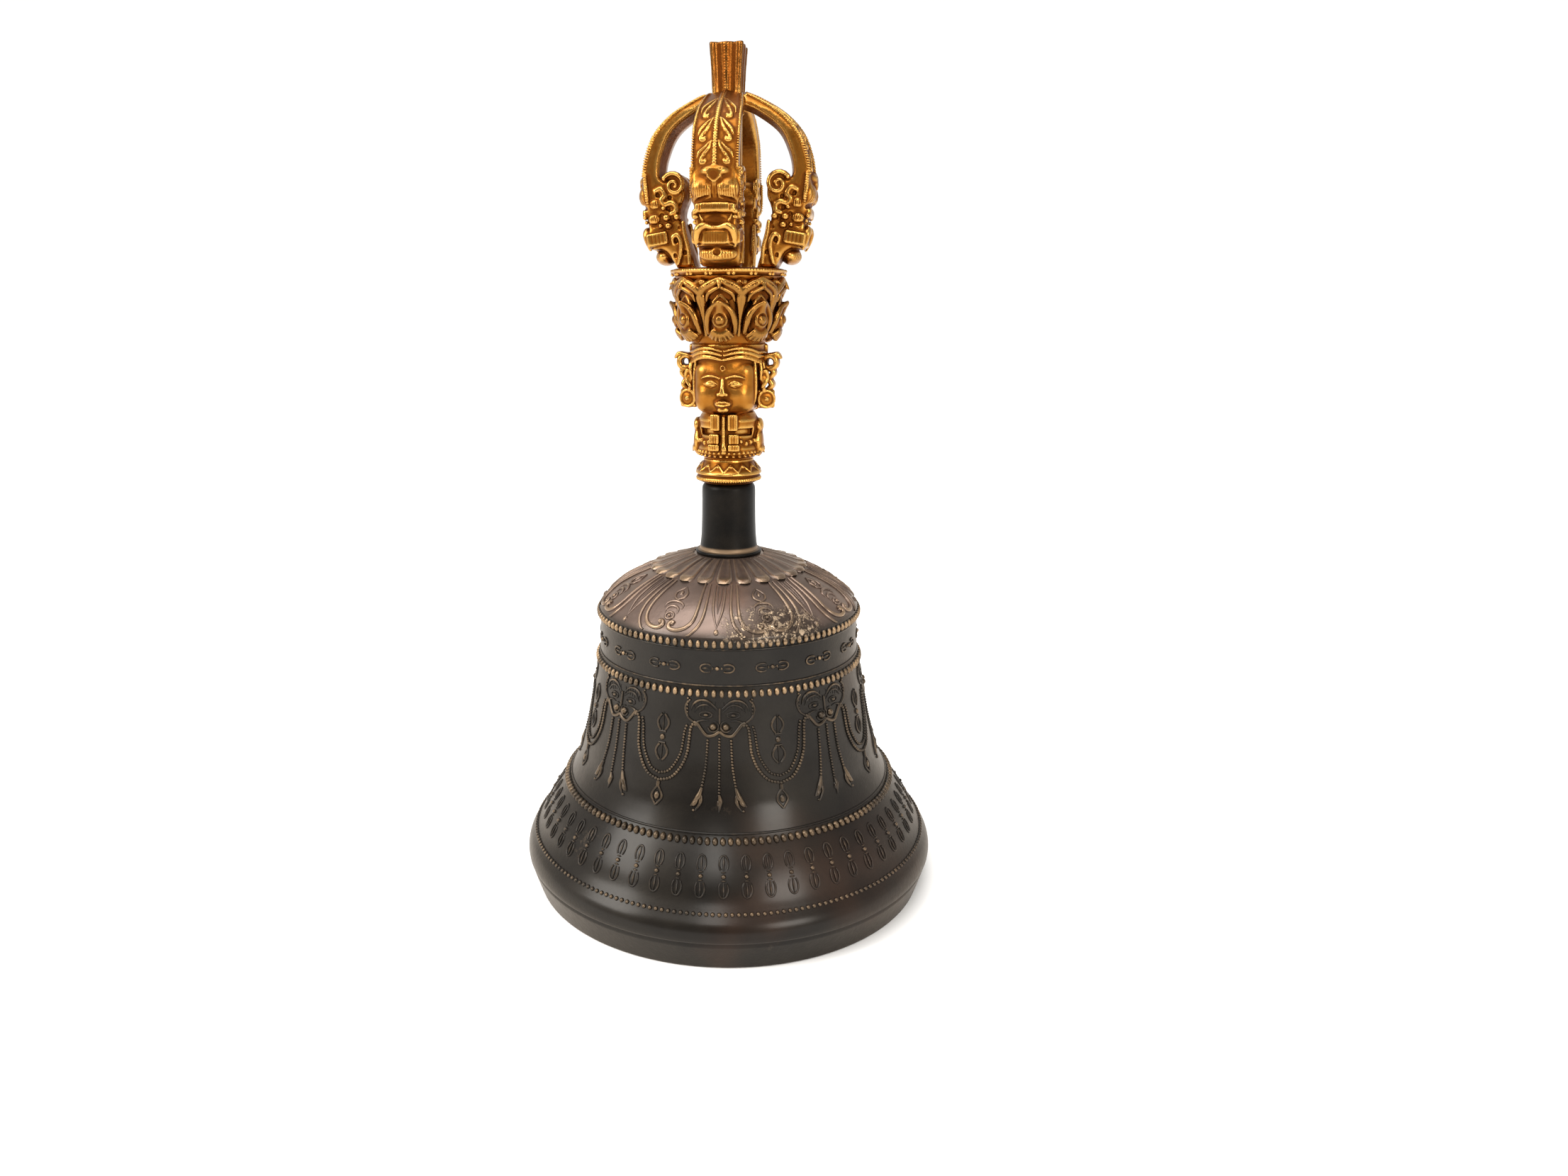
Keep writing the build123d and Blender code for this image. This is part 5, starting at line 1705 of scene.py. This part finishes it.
spire_clay = Clay((-4.6, -4.6, 137.3), (4.6, 4.6, 180.9), 0.16)
cut, x, y, z = spire_clay.part((-4.6, -4.6, 137.3), (4.6, 4.6, 180.9))
half = np.interp(z, [137.5, 166, 168.4, 172.0, 176.0, 180.6], [2.5, 2.55, 2.6, 2.7, 2.9, 3.25])
face_gap = np.maximum(np.abs(x), np.abs(y)) - half
across = np.minimum(np.abs(x), np.abs(y))
flute = 0.42 * np.exp(-(((across - half * 0.48) / 0.42) ** 2)) - 0.18 * np.exp(-((across / 0.45) ** 2))
chamfer = (np.abs(x) + np.abs(y)) * 0.7071 - half * 1.30
form = np.maximum(np.maximum(face_gap + flute, chamfer), np.maximum(137.5 - z, z - 180.55))
spire_clay.join(cut, form, 0.0, False)
for face in range(4):
    c, s = math.cos(face * math.pi / 2), math.sin(face * math.pi / 2)
    for side in (-1, 1):
        line = [
            (
                side * float(np.interp(z, [168, 180.6], [2.35, 2.95])),
                -float(np.interp(z, [168, 176, 180.6], [2.55, 2.85, 3.2])), z
            )
            for z in (168.0, 172.0, 176.0, 180.3)
        ]
        spire_clay.rope([(x * c - y * s, x * s + y * c, z) for x, y, z in line], 0.3, 0.1)
    for k in range(24):
        z = 168.6 + 0.5 * k
        y = -float(np.interp(z, [168, 176, 180.6], [2.65, 2.95, 3.3]))
        spire_clay.ball(
            (-y * s, y * c, z), (0.5 if face % 2 == 0 else 0.24, 0.24 if face % 2 == 0 else 0.5, 0.27), 0.04
        )
sculpted("spire_gilt", "spire", spire_clay.skin())

# ---------------------------------------------------------------------------------------------
# The tie and the clapper.
# A turned brass tube ties the bell, the neck and the handle together. A forged iron eye turns in it,
# and the clapper hangs from that on its rod.

iron, graph, shader = new_finish("forged_iron", 0.85, 0.5)
place = graph.add("ShaderNodeTexCoord").output("Object")
scale = graph.noise(place, 210.0, 4.0)
fleck = graph.noise(place, 1300.0, 3.0, 0.65)
colour = graph.tint(scale.from_to(0.35, 0.65), (0.075, 0.068, 0.064), (0.030, 0.026, 0.025))
colour = graph.tint((scale * 0.6 + fleck * 0.6).from_to(0.62, 0.78) * 0.75, colour, (0.17, 0.065, 0.025))
marks = {"Strength": 0.6, "Distance": 0.00015, "Height": fleck + scale * 1.5}
graph.feed(
    shader,
    {
        "Base Color": colour, "Roughness": 0.42 + fleck * 0.25,
        "Normal": graph.add("ShaderNodeBump", None, marks)
    },
)
brass, graph, shader = new_finish("turned_brass", 0.95, 0.35)
place = graph.add("ShaderNodeTexCoord").output("Object")
tarnish = graph.noise(place, 240.0, 4.0)
turned_marks = graph.noise(
    graph.add("ShaderNodeMapping", {"vector_type": "POINT"}, {"Vector": place, "Scale": (1.0, 1.0, 12.0)}),
    700.0, 2.0
)
colour = graph.tint(tarnish.from_to(0.35, 0.7), (0.44, 0.29, 0.105), (0.22, 0.13, 0.05))
marks = {"Strength": 0.35, "Distance": 0.00008, "Height": turned_marks + tarnish * 0.5}
graph.feed(
    shader,
    {
        "Base Color": colour, "Roughness": 0.28 + tarnish * 0.25,
        "Normal": graph.add("ShaderNodeBump", None, marks)
    },
)
for node, finish in (
    ("clamp_tube", brass), ("clapper_hanger", iron), ("hanger_washer", iron), ("clapper_rod", iron),
    ("clapper_bulb", iron)
):
    part = frame["nodes"][node]
    part = bpy.data.objects[part] if isinstance(part, str) else part
    for place in part.material_slots:
        place.material = finish

for sheet in list(sheets.objects):
    bpy.data.objects.remove(sheet)
